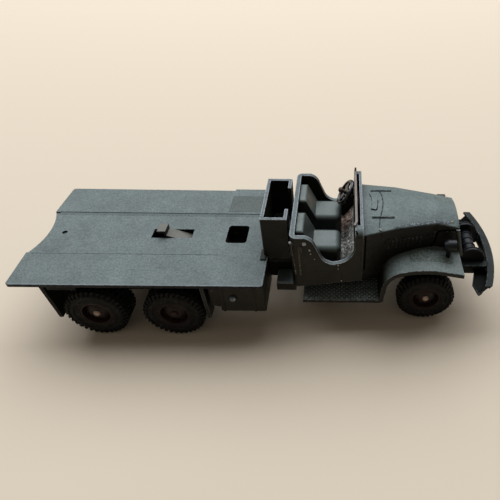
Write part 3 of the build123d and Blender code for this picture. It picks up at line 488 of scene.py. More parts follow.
NODE_FINISHES = {
    "cab_floor": CAB_CASTING_PALE, "bonnet": BONNET_ENAMEL, "wings_and_boards": WING_ENAMEL,
    "fuel_tank": TANK_ENAMEL, "tool_box": TANK_ENAMEL, "bumper": DARK_ENAMEL_AND_SHADE, "winch": WINCH_STYRENE,
    "headlamp_right": LAMP_STYRENE, "headlamp_left": LAMP_STYRENE, "latch_spring": SPRING_STEEL,
    "steering_column": COLUMN_STEEL, "middle_axle": PAINTED_STEEL, "frame": DARK_ENAMEL_AND_SHADE,
    "mud_flap_rear_right": DARK_ENAMEL_AND_SHADE, "mud_flap_rear_left": DARK_ENAMEL_AND_SHADE,
}


def dress_nodes() -> int:
    """Gives every CAD node its own finish, or that of its slot.

    Returns:
        How many nodes were dressed.
    """
    rows = FRAME["record"]["subparts"]
    for row in rows:
        finish = NODE_FINISHES.get(row["node"]) or SLOT_FINISHES[row["material_slot"]]
        materials = FRAME["nodes"][row["node"]].data.materials
        materials.clear()
        materials.append(finish.material())
    return len(rows)


class Growth:
    """A Geometry Nodes tree that stands one shape on every point."""

    def __init__(self, label: str, **sizes_mm: float) -> None:
        """Starts the tree with its geometry input, its named sizes and its finish.

        Args:
            label: the tree's name.
            sizes_mm: the named sizes with their usual values.
        """
        self.tree = bpy.data.node_groups.new(label, "GeometryNodeTree")
        sockets = self.tree.interface.new_socket
        sockets("Geometry", in_out="INPUT", socket_type="NodeSocketGeometry")
        for name, value in sizes_mm.items():
            sockets(name, in_out="INPUT", socket_type="NodeSocketFloat").default_value = value * MM
        sockets("Finish", in_out="INPUT", socket_type="NodeSocketMaterial")
        sockets("Geometry", in_out="OUTPUT", socket_type="NodeSocketGeometry")
        self.entry = add_node(self.tree, "NodeGroupInput")

    def size(self, *names: str) -> Socket:
        """Joins three named sizes to one vector."""
        return add_node(self.tree, "ShaderNodeCombineXYZ", {
            number: self.entry.outputs[name] for number, name in enumerate(names)}).outputs[0]

    def mark(self, name: str, kind: str = "FLOAT_VECTOR") -> Socket:
        """Reads a named attribute of the points."""
        return add_node(self.tree, "GeometryNodeInputNamedAttribute", {"Name": name},
                        data_type=kind).outputs["Attribute"]

    def end(self, shape: Socket, **stance: Socket) -> Tree:
        """Stands the shape on the points, makes it real and gives it the material.

        Args:
            shape: the geometry that stands on every point.
            stance: its Rotation and Scale, where it has them.

        Returns:
            The tree.
        """
        flat = add_node(self.tree, "GeometryNodeSetShadeSmooth", {0: shape, "Shade Smooth": False})
        placed = add_node(self.tree, "GeometryNodeInstanceOnPoints", {
            "Points": self.entry.outputs["Geometry"], "Instance": flat.outputs[0], **stance})
        real = add_node(self.tree, "GeometryNodeRealizeInstances", {0: placed.outputs[0]})
        dressed = add_node(self.tree, "GeometryNodeSetMaterial", {
            "Geometry": real.outputs[0], "Material": self.entry.outputs["Finish"]})
        add_node(self.tree, "NodeGroupOutput", {0: dressed.outputs[0]})
        return self.tree


@cache
def stud_tree() -> Tree:
    """Builds the tree of low domes, turned to their facing and scaled by their size.

    Returns:
        The tree.
    """
    growth = Growth("studs", Radius=0.5, Height=0.3)
    ball = add_node(growth.tree, "GeometryNodeMeshUVSphere", {"Segments": 10, "Rings": 6, "Radius": 1.0})
    dome = add_node(growth.tree, "GeometryNodeTransform", {
        "Geometry": ball.outputs[0], "Scale": growth.size("Radius", "Radius", "Height")})
    turned = add_node(growth.tree, "FunctionNodeAlignRotationToVector", {"Vector": growth.mark("facing")},
                      axis="Z")
    return growth.end(dome.outputs[0], Rotation=turned.outputs[0], Scale=growth.mark("size", "FLOAT"))


@cache
def tread_tree() -> Tree:
    """Builds the tree of raised lozenges, each turned by its lean.

    Returns:
        The tree.
    """
    growth = Growth("tread", Length=1.3, Width=0.5, Height=0.22)
    cone = add_node(growth.tree, "GeometryNodeMeshCone", {
        "Vertices": 4, "Radius Top": 0.25, "Radius Bottom": 0.5, "Depth": 1.0})
    lozenge = add_node(growth.tree, "GeometryNodeTransform", {
        "Geometry": cone.outputs["Mesh"], "Scale": growth.size("Length", "Width", "Height")})
    turn = add_node(growth.tree, "ShaderNodeCombineXYZ", {2: growth.mark("lean", "FLOAT")})
    return growth.end(lozenge.outputs[0], Rotation=turn.outputs[0])


@cache
def lug_tree() -> Tree:
    """Builds the tree of bars, each turned by its own angles.

    Returns:
        The tree.
    """
    growth = Growth("lugs", Length=1.5, Width=0.5, Height=0.4)
    bar = add_node(growth.tree, "GeometryNodeMeshCube", {"Size": growth.size("Length", "Width", "Height")})
    return growth.end(bar.outputs["Mesh"], Rotation=growth.mark("turn"))


def grow(tree: Tree, points: list[Vector], finish: Finish, marks: dict[str, list[Any]],
         **sizes_mm: float) -> Piece:
    """Runs a tree over points and keeps the result as one plain mesh.

    Args:
        tree: the Geometry Nodes tree.
        points: where its shapes go, in metres.
        finish: what the piece is made of.
        marks: for each attribute the tree reads, a value for every point.
        sizes_mm: the tree's named sizes.

    Returns:
        The finished piece.
    """
    mesh = bpy.data.meshes.new("points")
    mesh.from_pydata(points, [], [])
    for name, values in marks.items():
        vector = isinstance(values[0], (Vector, tuple))
        layer = mesh.attributes.new(name, "FLOAT_VECTOR" if vector else "FLOAT", "POINT")
        flat = [part for value in values for part in value] if vector else values
        layer.data.foreach_set("vector" if vector else "value", flat)
    source = bpy.data.objects.new("grown", mesh)
    bpy.context.collection.objects.link(source)
    modifier = source.modifiers.new("tree", "NODES")
    modifier.node_group = tree
    for item in tree.interface.items_tree:
        if item.in_out == "INPUT" and item.name in sizes_mm:
            modifier[item.identifier] = sizes_mm[item.name] * MM
        if item.in_out == "INPUT" and item.name == "Finish":
            modifier[item.identifier] = finish.material()
    depsgraph = bpy.context.evaluated_depsgraph_get()
    baked = bpy.data.meshes.new_from_object(source.evaluated_get(depsgraph))
    source.modifiers.remove(modifier)
    source.data = baked
    return source


def studs(rows: list[tuple[Vector, Any, float]], finish: Finish, radius: float, height: float) -> Piece:
    """Sets a low dome on every row of place, facing and size; size 1 has the radius and height given."""
    places, facings, sizes = map(list, zip(*rows))
    return grow(stud_tree(), places, finish, {"facing": facings, "size": sizes}, Radius=radius, Height=height)


def solid(points: list[Vector], faces: list[tuple[int, ...]], finish: Finish) -> Piece:
    """Makes a mesh object from points and faces.

    Args:
        points: its corners, in metres.
        faces: its faces, as numbers of corners.
        finish: what it is made of.

    Returns:
        The object.
    """
    mesh = bpy.data.meshes.new("solid")
    mesh.from_pydata(points, [], faces)
    mesh.materials.append(finish.material())
    mesh.validate()
    made = bpy.data.objects.new("solid", mesh)
    bpy.context.collection.objects.link(made)
    return made


def block(low: Triple, high: Triple, finish: Finish) -> Piece:
    """Makes a box between two corners, in truck millimetres."""
    corners = [spot(x, y, z) for x in (low[0], high[0]) for y in (low[1], high[1]) for z in (low[2], high[2])]
    return solid(corners, BOX_FACES, finish)


def prism(first: list[Vector], last: list[Vector], finish: Finish) -> Piece:
    """Makes a prism between two outlines.

    Args:
        first: the corners of one end, in metres.
        last: those of the other end.
        finish: what it is made of.

    Returns:
        The prism.
    """
    count = len(first)
    sides = [(n, (n + 1) % count, (n + 1) % count + count, n + count) for n in range(count)]
    ends = [tuple(reversed(range(count))), tuple(range(count, 2 * count))]
    return solid(first + last, ends + sides, finish)


def lathe(outline: list[Pair], place: Matrix, finish: Finish, segments: int = 48) -> Piece:
    """Turns an outline round its axis.

    Args:
        outline: radius and height of the corners in millimetres, closed by itself.
        place: where the turned piece stands; its axis is the local z.
        finish: what it is made of.
        segments: how many steps go round.

    Returns:
        The turned piece.
    """
    points, faces = [], []
    count = len(outline)
    for number in range(segments):
        angle = 2 * math.pi * number / segments
        points += [place @ Vector((radius * math.cos(angle), radius * math.sin(angle), height))
                   for radius, height in outline]
        here, after = number * count, (number + 1) % segments * count
        for corner in range(count):
            beside = (corner + 1) % count
            faces.append((here + corner, after + corner, after + beside, here + beside))
    return solid(points, faces, finish)


def stand(x: float, y: float, z: float, axis: Triple) -> Matrix:
    """Gives the place of a turned piece.

    Args:
        x: station of its middle.
        y: distance to the left of its middle.
        z: height of its middle.
        axis: where its axis points.

    Returns:
        The matrix from local millimetres to the frame's metres.
    """
    turn = Vector(axis).to_track_quat("Z", "Y").to_matrix().to_4x4()
    return Matrix.Translation(spot(x, y, z)) @ turn @ Matrix.Scale(MM, 4)


class Side(Enum):
    """Which way a detail is pressed on to a surface."""

    ABOVE = (0, 0, -1)
    RIGHT = (0, 1, 0)
    LEFT = (0, -1, 0)


class Skin:
    """The surface of some CAD nodes, on which details are laid."""

    def __init__(self, *nodes: str) -> None:
        """Reads the nodes' meshes.

        Args:
            nodes: the CAD nodes' names.
        """
        meshes = [FRAME["nodes"][node].data for node in nodes]
        self.trees = [BVHTree.FromPolygons([v.co for v in mesh.vertices],
                                           [tuple(p.vertices) for p in mesh.polygons]) for mesh in meshes]

    def meet(self, start: Vector, heading: Vector) -> tuple[Vector, Vector] | None:
        """Finds where a line first meets the surface.

        Args:
            start: where the line starts, in metres.
            heading: where it goes.

        Returns:
            The place and the surface's normal, or None.
        """
        hits = [tree.ray_cast(start, heading) for tree in self.trees]
        hits = [hit for hit in hits if hit[0] is not None]
        return min(hits, key=lambda hit: hit[3])[:2] if hits else None


@dataclass
class Press:
    """Presses thin strips on to a surface from one side, as straps, bars or dark gaps.

    Attributes:
        skin: the surface.
        side: where it is pressed from.
        reach: the height over the ground, or the distance from the middle plane, at which
            the strips' paths are drawn.
        step: how long the steps of a path are.
        sunk: how deep a strip goes into the surface.
        run_up_m: how far before its path a ray starts, in metres.
    """

    skin: Skin
    side: Side
    reach: float
    step: float = 0.5
    sunk: float = 0.06
    run_up_m: float = 0.05

    def lay(self, finish: Finish, *rows: tuple[float, float, list[Pair]]) -> list[Piece]:
        """Lays a strip for every row.

        Args:
            finish: what they are made of.
            rows: each strip's width, how proud it stands, and its path: x and y from
                above, or else x and z.

        Returns:
            The strips.
        """
        return [self.strip(finish, *row) for row in rows]

    def strip(self, finish: Finish, width: float, proud: float, path: list[Pair]) -> Piece:
        """Lays one strip.

        Args:
            finish: what it is made of.
            width: how wide it is.
            proud: how far it stands over the surface.
            path: its middle line, as lay takes it.

        Returns:
            The strip.
        """
        heading = Vector(self.side.value)
        line = self.walk(path)
        points: list[Vector] = []
        for number, here in enumerate(line):
            along = (line[min(number + 1, len(line) - 1)] - line[max(number - 1, 0)]).normalized()
            across = along.cross(heading).normalized() * (width * MM / 2)
            met = [self.skin.meet(edge - heading * self.run_up_m, heading)
                   for edge in (here - across, here + across)]
            if None in met:
                continue
            lift = (met[0][1] + met[1][1]).normalized()
            for place, _ in met:
                points += [place - lift * self.sunk * MM, place + lift * proud * MM]
        last = len(points) - 4
        faces: list[tuple[int, ...]] = []
        for a in range(0, last, 4):
            b = a + 4
            faces += [(a + 1, a + 3, b + 3, b + 1), (a, a + 1, b + 1, b), (a + 3, a + 2, b + 2, b + 3),
                      (a + 2, a, b, b + 2)]
        faces += [(0, 2, 3, 1), (last, last + 1, last + 3, last + 2)]
        return solid(points, faces, finish)

    def walk(self, path: list[Pair]) -> list[Vector]:
        """Divides a path into short steps.

        Args:
            path: its corners, as lay takes them.

        Returns:
            The places along it, in metres.
        """
        out = self.side.value[1]
        corners = [spot(a, -out * self.reach, b) if out else spot(a, b, self.reach) for a, b in path]
        line = [corners[0]]
        for start, end in zip(corners, corners[1:]):
            parts = max(1, round((end - start).length / (self.step * MM)))
            line += [start.lerp(end, (n + 1) / parts) for n in range(parts)]
        return line


def seat_on(label: str, pieces: list[Piece], body: str = CHASSIS, replaced: str = "") -> None:
    """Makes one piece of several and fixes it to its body.

    Args:
        label: the piece's name.
        pieces: what it is made of.
        body: the CAD body that carries it.
        replaced: the CAD node in whose place it shows, if any.
    """
    piece = pieces[0]
    if len(pieces) > 1:
        with bpy.context.temp_override(active_object=piece, selected_editable_objects=pieces):
            bpy.ops.object.join()
    piece.name = label
    piece.data.name = label
    if replaced:
        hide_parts(replaced)
    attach(piece, body)
    LOG.info("%s: %d faces on %s", piece.name, len(piece.data.polygons), body)


@dataclass
class RunningBoards:
    """The raised lozenges on both running boards, pale as painted highlight."""

    rear_x: float = -42.6
    front_x: float = -17.4
    inner_y: float = 10.6
    outer_y: float = 20.9
    edge_x: float = 0.6
    edge_y: float = 0.35
    top_z: float = 13.98
    pitch_x: float = 1.75
    pitch_y: float = 0.85
    lean_deg: float = 40.0

    def build(self) -> None:
        """Covers both boards with staggered lozenges, each row leaning the other way."""
        points, leans = [], []
        rows = int((self.outer_y - self.inner_y) / self.pitch_y)
        for side in (-1, 1):
            for row in range(rows):
                y = self.outer_y - self.edge_y - row * self.pitch_y
                x = self.rear_x + self.edge_x + (row % 2) * self.pitch_x / 2
                while x < self.front_x:
                    points.append(spot(x, side * y, self.top_z))
                    leans.append(math.radians(self.lean_deg if row % 2 else -self.lean_deg))
                    x += self.pitch_x
        seat_on("running_board_tread", [
            grow(tread_tree(), points, TREAD_HIGHLIGHT_ENAMEL, {"lean": leans}, Length=1.45, Width=0.6, Height=0.32)])


@dataclass
class CabDetails:
    """Studs, corner straps and seams on the cab's outside, and the cowl's rubbed rim."""

    half_width: float = 18.5
    over_z: float = 50.0
    # columns: station, height, size
    studs: tuple[Triple, ...] = (
        (-46.2, 37.3, 1.1), (-41.8, 36.9, 1.6), (-40.2, 34.2, 0.8), (-39.9, 32.6, 0.6), (-38.7, 30.3, 0.5),
        (-31.0, 27.6, 0.6), (-31.0, 26.1, 0.5), (-43.6, 27.6, 0.5), (-45.2, 25.0, 0.5), (-29.9, 20.6, 0.6))

    def build(self) -> None:
        """Lays the straps and seams and sets the studs."""
        skin = Skin("cab")
        over = Press(skin, Side.ABOVE, self.over_z)
        straps, gaps = [], []
        for side, sign in ((Side.RIGHT, -1), (Side.LEFT, 1)):
            press = Press(skin, side, self.half_width)
            # the two straps and the hook at the rear corner, lighter as painted highlight
            straps += press.lay(
                STRAP_ENAMEL,
                (0.6, 0.15, [(-43.6, 35.4), (-43.5, 23.2)]),
                (0.6, 0.1, [(-45.5, 36.9), (-46.0, 35.0), (-45.0, 23.4)]),
                (0.4, 0.25, [(-43.7, 35.6), (-42.9, 35.3), (-42.8, 33.4)]))
            # the short rib under the doorway, and the long one before it
            straps += press.lay(TANK_ENAMEL, (0.35, 0.08, [(-29.8, 24.6), (-29.8, 20.6)]),
                                (0.4, 0.08, [(-23.6, 33.5), (-23.6, 21.5)]))
            gaps += press.lay(DARK_GAP, (0.3, 0.03, [(-45.6, 36.0), (-45.6, 20.0)]))
            gaps += over.lay(DARK_GAP, (0.5, 0.05, [(-26.1, sign * 15.7), (-25.0, sign * 18.0)]))
        seat_on("cab_straps", straps)
        seat_on("cab_seams", gaps)
        rubs = over.lay(FLECKED_ENAMEL, (0.7, 0.04, [(-24.4, -14.0), (-24.3, -6.0), (-24.3, 3.0)]))
        rubs += over.lay(ROD_STEEL, (0.5, 0.04, [(-24.3, 3.0), (-24.4, 14.8)]))
        seat_on("cowl_rubs", rubs)
        rows = [(spot(x, sign * self.half_width, z), (0, sign, 0), size)
                for sign in (-1, 1) for x, z, size in self.studs]
        seat_on("cab_studs", [studs(rows, STUD_ZINC, 0.45, 0.35)])


@dataclass
class BonnetDetails:
    """The relief on the bonnet's top, its catch, side mouldings and the dark joint to the wings;
    the bars and mouldings are painted dark as shade lines, and a band paints a highlight along the near
    shoulder.
    """

    over_z: float = 45.0
    half_width: float = 16.0
    rivet_x: float = 7.0
    rivet_y: float = 6.9
    ray_z: float = 60.0
    sides: tuple[Side, ...] = (Side.RIGHT, Side.LEFT)

    def build(self) -> None:
        """Lays the bars, the strap, the catch, the mouldings, the joint lines and the rubs."""
        skin = Skin("bonnet")
        over = Press(skin, Side.ABOVE, self.over_z)
        # the bar along each edge, and the strap across, painted dark as shade lines
        raised = over.lay(
            DARK_ENAMEL_AND_SHADE,
            (0.55, 0.28, [(-20.0, 7.9), (-12.7, 7.9)]),
            (0.55, 0.28, [(-20.0, -7.35), (-12.6, -7.35)]),
            (0.35, 0.1, [(-17.5, 8.6), (-16.5, 6.4), (-16.1, 3.4), (-16.0, -0.3), (-16.5, -3.9),
                         (-17.1, -6.7), (-17.5, -8.6), (-17.7, -11.4)]))
        # the catch
        raised += over.lay(BONNET_ENAMEL, (
            1.8, 0.4, [(-19.6, 5.6), (-19.0, 3.4), (-18.8, 0.9), (-18.9, -1.4), (-19.4, -3.7)]))
        for side in self.sides:
            # the moulding down the side, and the one along it, painted dark as shade lines
            raised += Press(skin, side, self.half_width).lay(
                DARK_ENAMEL_AND_SHADE,
                (0.35, 0.12, [(-17.2, 36.8), (-16.0, 34.3), (-14.7, 29.2)]),
                (0.3, 0.1, [(-22.0, 34.7), (-13.7, 34.2), (1.6, 33.7)]))
        seat_on("bonnet_relief", raised)
        both = Skin("bonnet", "wings_and_boards")
        gaps = []
        for side in self.sides:
            # the joint to the wings, and the one to the cowl
            gaps += Press(both, side, self.half_width).lay(
                DARK_GAP,
                (0.7, 0.06, [(9.3, 35.2), (3.0, 34.8), (2.2, 34.3), (1.6, 29.6), (0.6, 28.8)]),
                (0.5, 0.04, [(-22.2, 22.0), (-22.2, 37.0)]))
        # the dark line in the catch
        gaps += over.lay(DARK_GAP, (0.35, 0.2, [(-17.75, 1.2), (-18.35, -3.8)]))
        seat_on("bonnet_joints", gaps)
        # the band of rubbed flecks along the right edge, which also paints the near shoulder's highlight, and
        # the rub at its front
        rubs = over.lay(FLECKED_ENAMEL, *(
            (0.62, 0.06, [(-15.0 + 2 * inset, -12.9 + inset), (-11.0, -12.0 + inset), (2.0, -8.6 + inset),
                          (5.0 + inset, -8.5 + inset)]) for inset in (0.0, 0.6, 1.2)))
        rubs += over.lay(FLECKED_ENAMEL, (0.6, 0.06, [(9.0, -8.2), (9.2, -4.6)]))
        # the curl at the strap's end
        rubs += over.lay(PALE_ENAMEL, (0.6, 0.35, [(-17.7, -12.2), (-16.8, -13.1), (-15.4, -12.9)]))
        # the flecks on the cowl, and the grit on both wings
        rubs += Press(Skin("cab"), Side.ABOVE, self.over_z).lay(
            FLECKED_ENAMEL, (1.6, 0.03, [(-23.5, 4.0), (-23.5, -14.2)]))
        rubs += Press(Skin("wings_and_boards"), Side.ABOVE, self.over_z).lay(GRITTY_ENAMEL, *(
            (6.6, 0.03, [(-7.0, y), (7.6, y)]) for y in (-13.2, 13.2)))
        seat_on("bonnet_rubs_and_highlight", rubs)
        met = [skin.meet(spot(self.rivet_x, y, self.ray_z), Vector(Side.ABOVE.value))
               for y in (-self.rivet_y, self.rivet_y)]
        rows = [(*hit, 1.0) for hit in met if hit]
        seat_on("bonnet_rivets", [studs(rows, PALE_ENAMEL, 0.55, 0.25)])


@dataclass
class Wheel:
    """A tyre with a fine lugged tread and its hub's bolts, in place of the CAD tyre.

    Attributes:
        name: its axle's name.
        x: station of its axle.
        face_y: distance from the middle plane to its outer face.
        left: whether it stands on the left.
        width: how wide the tyre or the pair of tyres is.
        twin: whether two tyres stand on the hub.
        radius: the tyre's radius over its lugs.
        rim: the tyre's inner radius.
        depth: how far the lugs stand over the tyre's body.
        lugs: how many stand in each ring.
        groove: the gap between twin tyres.
        bolts: how many the hub has.
        bolt_circle: the radius on which they stand.
        bolt_depth: how far they lie behind the outer face.
        segments: how many steps the tyre has round it.
    """

    name: str
    x: float
    face_y: float
    left: bool
    width: float
    twin: bool
    radius: float = 10.3
    rim: float = 5.1
    depth: float = 0.55
    lugs: int = 36
    groove: float = 0.9
    bolts: int = 6
    bolt_circle: float = 3.3
    bolt_depth: float = 1.7
    segments: int = 72

    def outline(self, high: float, low: float) -> list[Pair]:
        """Draws the section of one tyre.

        Args:
            high: the height of its outer face along the axle.
            low: the height of its inner face.

        Returns:
            The section's radii and heights.
        """
        # columns: radius, depth under the face
        half = [(self.rim, 0.45), (5.5, 0.3), (5.9, 0.12), (6.5, 0.1), (6.8, 0.3), (7.3, 0.02), (8.0, 0.05),
                (8.8, 0.25), (9.4, 0.8), (self.radius - self.depth, 1.5)]
        return [(r, high - d) for r, d in half] + [(r, low + d) for r, d in reversed(half)]

    def tread(self, place: Matrix, bands: list[Pair]) -> Piece:
        """Sets the lugs round the tyre, long ones on the tread and short ones on the shoulders.

        Args:
            place: where the wheel stands.
            bands: each tyre's outer and inner height along the axle.

        Returns:
            All lugs as one piece.
        """
        points, turns = [], []
        upright = place.to_3x3().normalized()
        for high, low in bands:
            middle = (high + low) / 2
            for number in range(self.lugs):
                for half, edge in ((-1, low), (1, high)):
                    angle = 2 * math.pi * (number + 0.25 * half) / self.lugs
                    # columns: radius, height, tilt of the lug over the shoulder, slant
                    for radius, height, tilt, slant in (
                            (self.radius - 0.42, (middle + edge) / 2 - half * 0.45, 0.0, 0.35),
                            (self.radius - 1.02, edge - half * 0.75, -0.85, 0.1)):
                        local = Vector((radius * math.cos(angle), radius * math.sin(angle), height))
                        points.append(place @ local)
                        turn = (upright @ Matrix.Rotation(angle, 3, "Z")
                                @ Matrix.Rotation(half * tilt, 3, "Y")
                                @ Matrix.Rotation(half * slant, 3, "X"))
                        turns.append(tuple(turn.to_euler("XYZ")))
        return grow(lug_tree(), points, TYRE_RUBBER, {"turn": turns}, Length=0.8, Width=0.95, Height=1.9)

    def build(self) -> None:
        """Builds the tyre with its lugs and sets the hub's bolts."""
        sign, side = (1, "left") if self.left else (-1, "right")
        wheel = f"{self.name}_{side}"
        place = stand(self.x, sign * self.face_y, self.radius, (0, sign, 0))
        each = (self.width - self.groove) / 2
        bands = [(0.0, -each), (each - self.width, -self.width)] if self.twin else [(0.0, -self.width)]
        rings = [lathe(self.outline(*band), place, TYRE_RUBBER, self.segments) for band in bands]
        bead = [(5.3, -0.6), (5.3, -0.24), (5.62, -0.12), (5.62, -0.6)]
        body = f"wheel_{wheel}"
        seat_on(f"tread_{wheel}", [
            *rings, lathe(bead, place, HUB_ENAMEL, self.segments), self.tread(place, bands)],
                body, f"tyre_{wheel}")
        rows = []
        for number in range(self.bolts):
            angle = 2 * math.pi * number / self.bolts
            x, y = self.bolt_circle * math.cos(angle), self.bolt_circle * math.sin(angle)
            rows.append((place @ Vector((x, y, -self.bolt_depth)), (0, sign, 0), 1.0))
        seat_on(f"hub_bolts_{wheel}", [studs(rows, HUB_ENAMEL, 0.4, 0.45)], body)


@dataclass
class Steering:
    """The steering wheel with a thick rim and broad spokes, in place of the CAD one."""

    x: float = -28.8
    y: float = 9.5
    z: float = 37.2
    tilt_deg: float = 33.0
    radius: float = 4.35
    tube: float = 0.68
    tube_sides: int = 10
    spokes: int = 3

    def spoke(self, place: Matrix, angle: float) -> Piece:
        """Builds one spoke, which widens towards the rim.

        Args:
            place: where the steering wheel stands.
            angle: where the spoke points.

        Returns:
            The spoke.
        """
        along = Vector((math.cos(angle), math.sin(angle), 0))
        across = Vector((-math.sin(angle), math.cos(angle), 0))
        # columns: distance from the middle, half width
        ends = ((1.2, 1.0), (self.radius, 1.3))
        corners = [place @ (along * reach + across * half * way + Vector((0, 0, height)))
                   for reach, half in ends for way in (-1, 1) for height in (-0.35, 0.25)]
        return solid(corners, BOX_FACES, BLACK_STYRENE)

    def build(self) -> None:
        """Builds the rim, the dish and the spokes."""
        tilt = math.radians(self.tilt_deg)
        place = stand(self.x, self.y, self.z, (-math.cos(tilt), 0, math.sin(tilt)))
        ring = [(self.radius + self.tube * math.cos(a), self.tube * math.sin(a))
                for a in (2 * math.pi * n / self.tube_sides for n in range(self.tube_sides))]
        dish = [(0.65, -0.45), (1.9, -0.45), (1.9, 0.25), (0.65, 0.4)]
        spokes = [self.spoke(place, 2 * math.pi * (n + 0.25) / self.spokes) for n in range(self.spokes)]
        seat_on("steering_rim", [
            lathe(ring, place, BLACK_STYRENE), lathe(dish, place, BLACK_STYRENE, 24), *spokes],
                replaced="steering_wheel")


@dataclass
class DeckDetails:
    """The deck's soft far crease, painted shade lines and edge highlights, patch, scuffs and tab, and the
    flaps' brackets.
    """

    top_z: float = 25.4
    well_z: float = 24.95
    rear_x: float = -134.6
    front_x: float = -56.6
    crease_y: float = 11.4
    crease_foot_y: float = 9.9
    crease_toe: float = 0.6
    crease_root: float = 0.3
    sunk: float = 0.02
    over_z: float = 40.0
    tab: tuple[Triple, Triple] = ((-57.4, -14.0, 25.3), (-55.6, -8.8, 25.9))
    patch: tuple[Triple, Triple] = ((-72.6, 12.6, 25.36), (-57.2, 22.7, 25.42))
    brackets: tuple[tuple[Triple, Triple], ...] = (
        ((-124.6, -25.0, 21.7), (-115.4, -15.0, 24.25)), ((-124.6, 15.0, 21.7), (-115.4, 25.0, 24.25)))
    scuffs: tuple[list[Pair], ...] = (
        [(-129.9, -8.9), (-127.0, -8.0), (-123.2, -6.2)], [(-132.0, -9.6), (-130.0, -9.4)],
        [(-92.4, 10.6), (-91.6, 10.9)], [(-88.6, 8.3), (-88.2, 8.6)], [(-85.0, -14.6), (-83.0, -14.2)],
        [(-99.0, -19.0), (-97.8, -18.6)], [(-104.6, 20.4), (-104.0, 20.7)])
    # columns: station, distance to the left, height, size
    tank_studs: tuple[tuple[float, float, float, float], ...] = (
        (-65.66, -24.75, 18.07, 2.7), (-72.1, -24.5, 21.6, 0.8), (-72.1, -24.5, 14.0, 0.8))

    def build(self) -> None:
        """Lays the details on the deck and under it."""
        deep = self.well_z - self.crease_root
        section = [(self.crease_y, self.top_z - self.sunk), (self.crease_foot_y, self.well_z - self.sunk),
                   (self.crease_foot_y - self.crease_toe, deep), (self.crease_y, deep)]
        rear, front = ([spot(x, y, z) for y, z in section] for x in (self.rear_x, self.front_x))
        seat_on("deck_crease", [
            prism(rear, front, DECK_ENAMEL), block(*self.tab, TAB_ENAMEL), block(*self.patch, PATCH_ENAMEL)])
        over = Press(Skin("deck"), Side.ABOVE, self.over_z)
        # dark strips along the creases, painted shade under the steps of the raised wings
        seat_on("crease_shade_lines", over.lay(
            DARK_ENAMEL_AND_SHADE, (0.16, 0.02, [(self.rear_x, 11.35), (self.front_x, 11.35)]),
            (0.16, 0.02, [(self.rear_x, -11.5), (-72.0, -11.5)])))
        # painted highlights along the deck's near and front edges, then the rubbed scuffs
        rubs = over.lay(EDGE_HIGHLIGHT_ENAMEL, (0.3, 0.03, [(-135.0, -26.05), (-56.0, -26.05)]),
                        (0.22, 0.03, [(-55.3, -15.0), (-55.4, -25.5)]))
        rubs += over.lay(RUBBED_ENAMEL, *((0.4, 0.03, path) for path in self.scuffs))
        seat_on("deck_rubs_and_highlights", rubs)
        seat_on("flap_brackets", [block(*corners, DARK_ENAMEL_AND_SHADE) for corners in self.brackets])
        rows = [(spot(x, y, z), (0, -1, 0), size) for x, y, z, size in self.tank_studs]
        seat_on("tank_studs", [studs(rows, CAP_ZINC, 0.45, 0.35)])


@dataclass
class Nose:
    """The winch's rims, the guard's edges in a painted highlight, and the plates at the bumper's ends, one
    black as painted shadow.
    """

    winch_x: float = 16.2
    winch_z: float = 21.2
    flange: float = 4.4
    guard_y: float = 9.1
    guard_half_x: float = 0.6
    guard_half_y: float = 0.5
    guard_sides: int = 8

    def build(self) -> None:
        """Builds the pieces on the truck's nose."""
        self.winch()
        seat_on("guard_edges", [self.edge(sign) for sign in (-1, 1)])
        seat_on("bumper_end_plates", [*self.plates(-1), *self.plates(1)])

    def winch(self) -> None:
        """Turns the rims of the winch's flanges and the turns on its drum."""
        r = self.flange
        rim = [(r - 0.5, -0.22), (r + 0.12, -0.22), (r + 0.25, 0), (r + 0.12, 0.22), (r - 0.5, 0.22)]
        turn = [(2.1, -0.3), (2.5, -0.3), (2.6, 0), (2.5, 0.3), (2.1, 0.3)]
        seat_on("winch_rims", [
            lathe(outline, stand(self.winch_x, y, self.winch_z, (0, 1, 0)), WINCH_STYRENE, segments)
            for outline, segments, places in (
                (rim, 48, (-7.65, -6.35, 6.35, 7.65)), (turn, 32, (-4.5, -1.5, 1.5, 4.5)))
            for y in places])

    def edge(self, sign: int) -> Piece:
        """Rounds one upright edge of the guard, which leans forwards to its foot, in a lighter finish as
        painted highlight.

        Args:
            sign: -1 for the right edge, 1 for the left.

        Returns:
            The rounded edge.
        """
        count = self.guard_sides
        line = [(8.95, 35.4), (10.2, 30.4), (11.75, 24.3)]
        angles = [2 * math.pi * turn / count for turn in range(count)]
        ring = [(self.guard_half_x * math.cos(a), self.guard_y + self.guard_half_y * math.sin(a))
                for a in angles]
        points = [spot(x + ahead, sign * y, z) for x, z in line for ahead, y in ring]
        faces = [(row + n, row + (n + 1) % count, row + (n + 1) % count + count, row + n + count)
                 for row in range(0, len(points) - count, count) for n in range(count)]
        faces += [tuple(range(count)), tuple(reversed(range(len(points) - count, len(points))))]
        return solid(points, faces, GUARD_HIGHLIGHT_ENAMEL)

    def plates(self, sign: int) -> tuple[Piece, Piece]:
        """Closes one slanted end of the bumper and lays a plate painted black as shadow in its channel.

        Args:
            sign: -1 for the right end, 1 for the left.

        Returns:
            The two plates.
        """
        corners = [spot(x, sign * y, z) for x, y, z in (
            (20.4, 20.3, 20.3), (17.3, 20.4, 16.0), (17.5, 19.9, 16.7), (20.9, 15.5, 16.0),
            (21.6, 15.5, 20.0), (21.6, 15.8, 16.0))]
        faces = [(0, 1, 2), (0, 2, 3, 4), (0, 4, 5), (0, 5, 1), (1, 5, 3, 2), (3, 5, 4)]
        outline = [(16.2, 15.6), (17.2, 20.0), (18.6, 18.8), (20.6, 15.4), (21.8, 9.6), (18.0, 9.4)]
        low, high = ([spot(x, sign * y, z) for x, y in outline] for z in (16.79, 16.86))
        return solid(corners, faces, DARK_ENAMEL_AND_SHADE), prism(low, high, SHADED_ENAMEL)


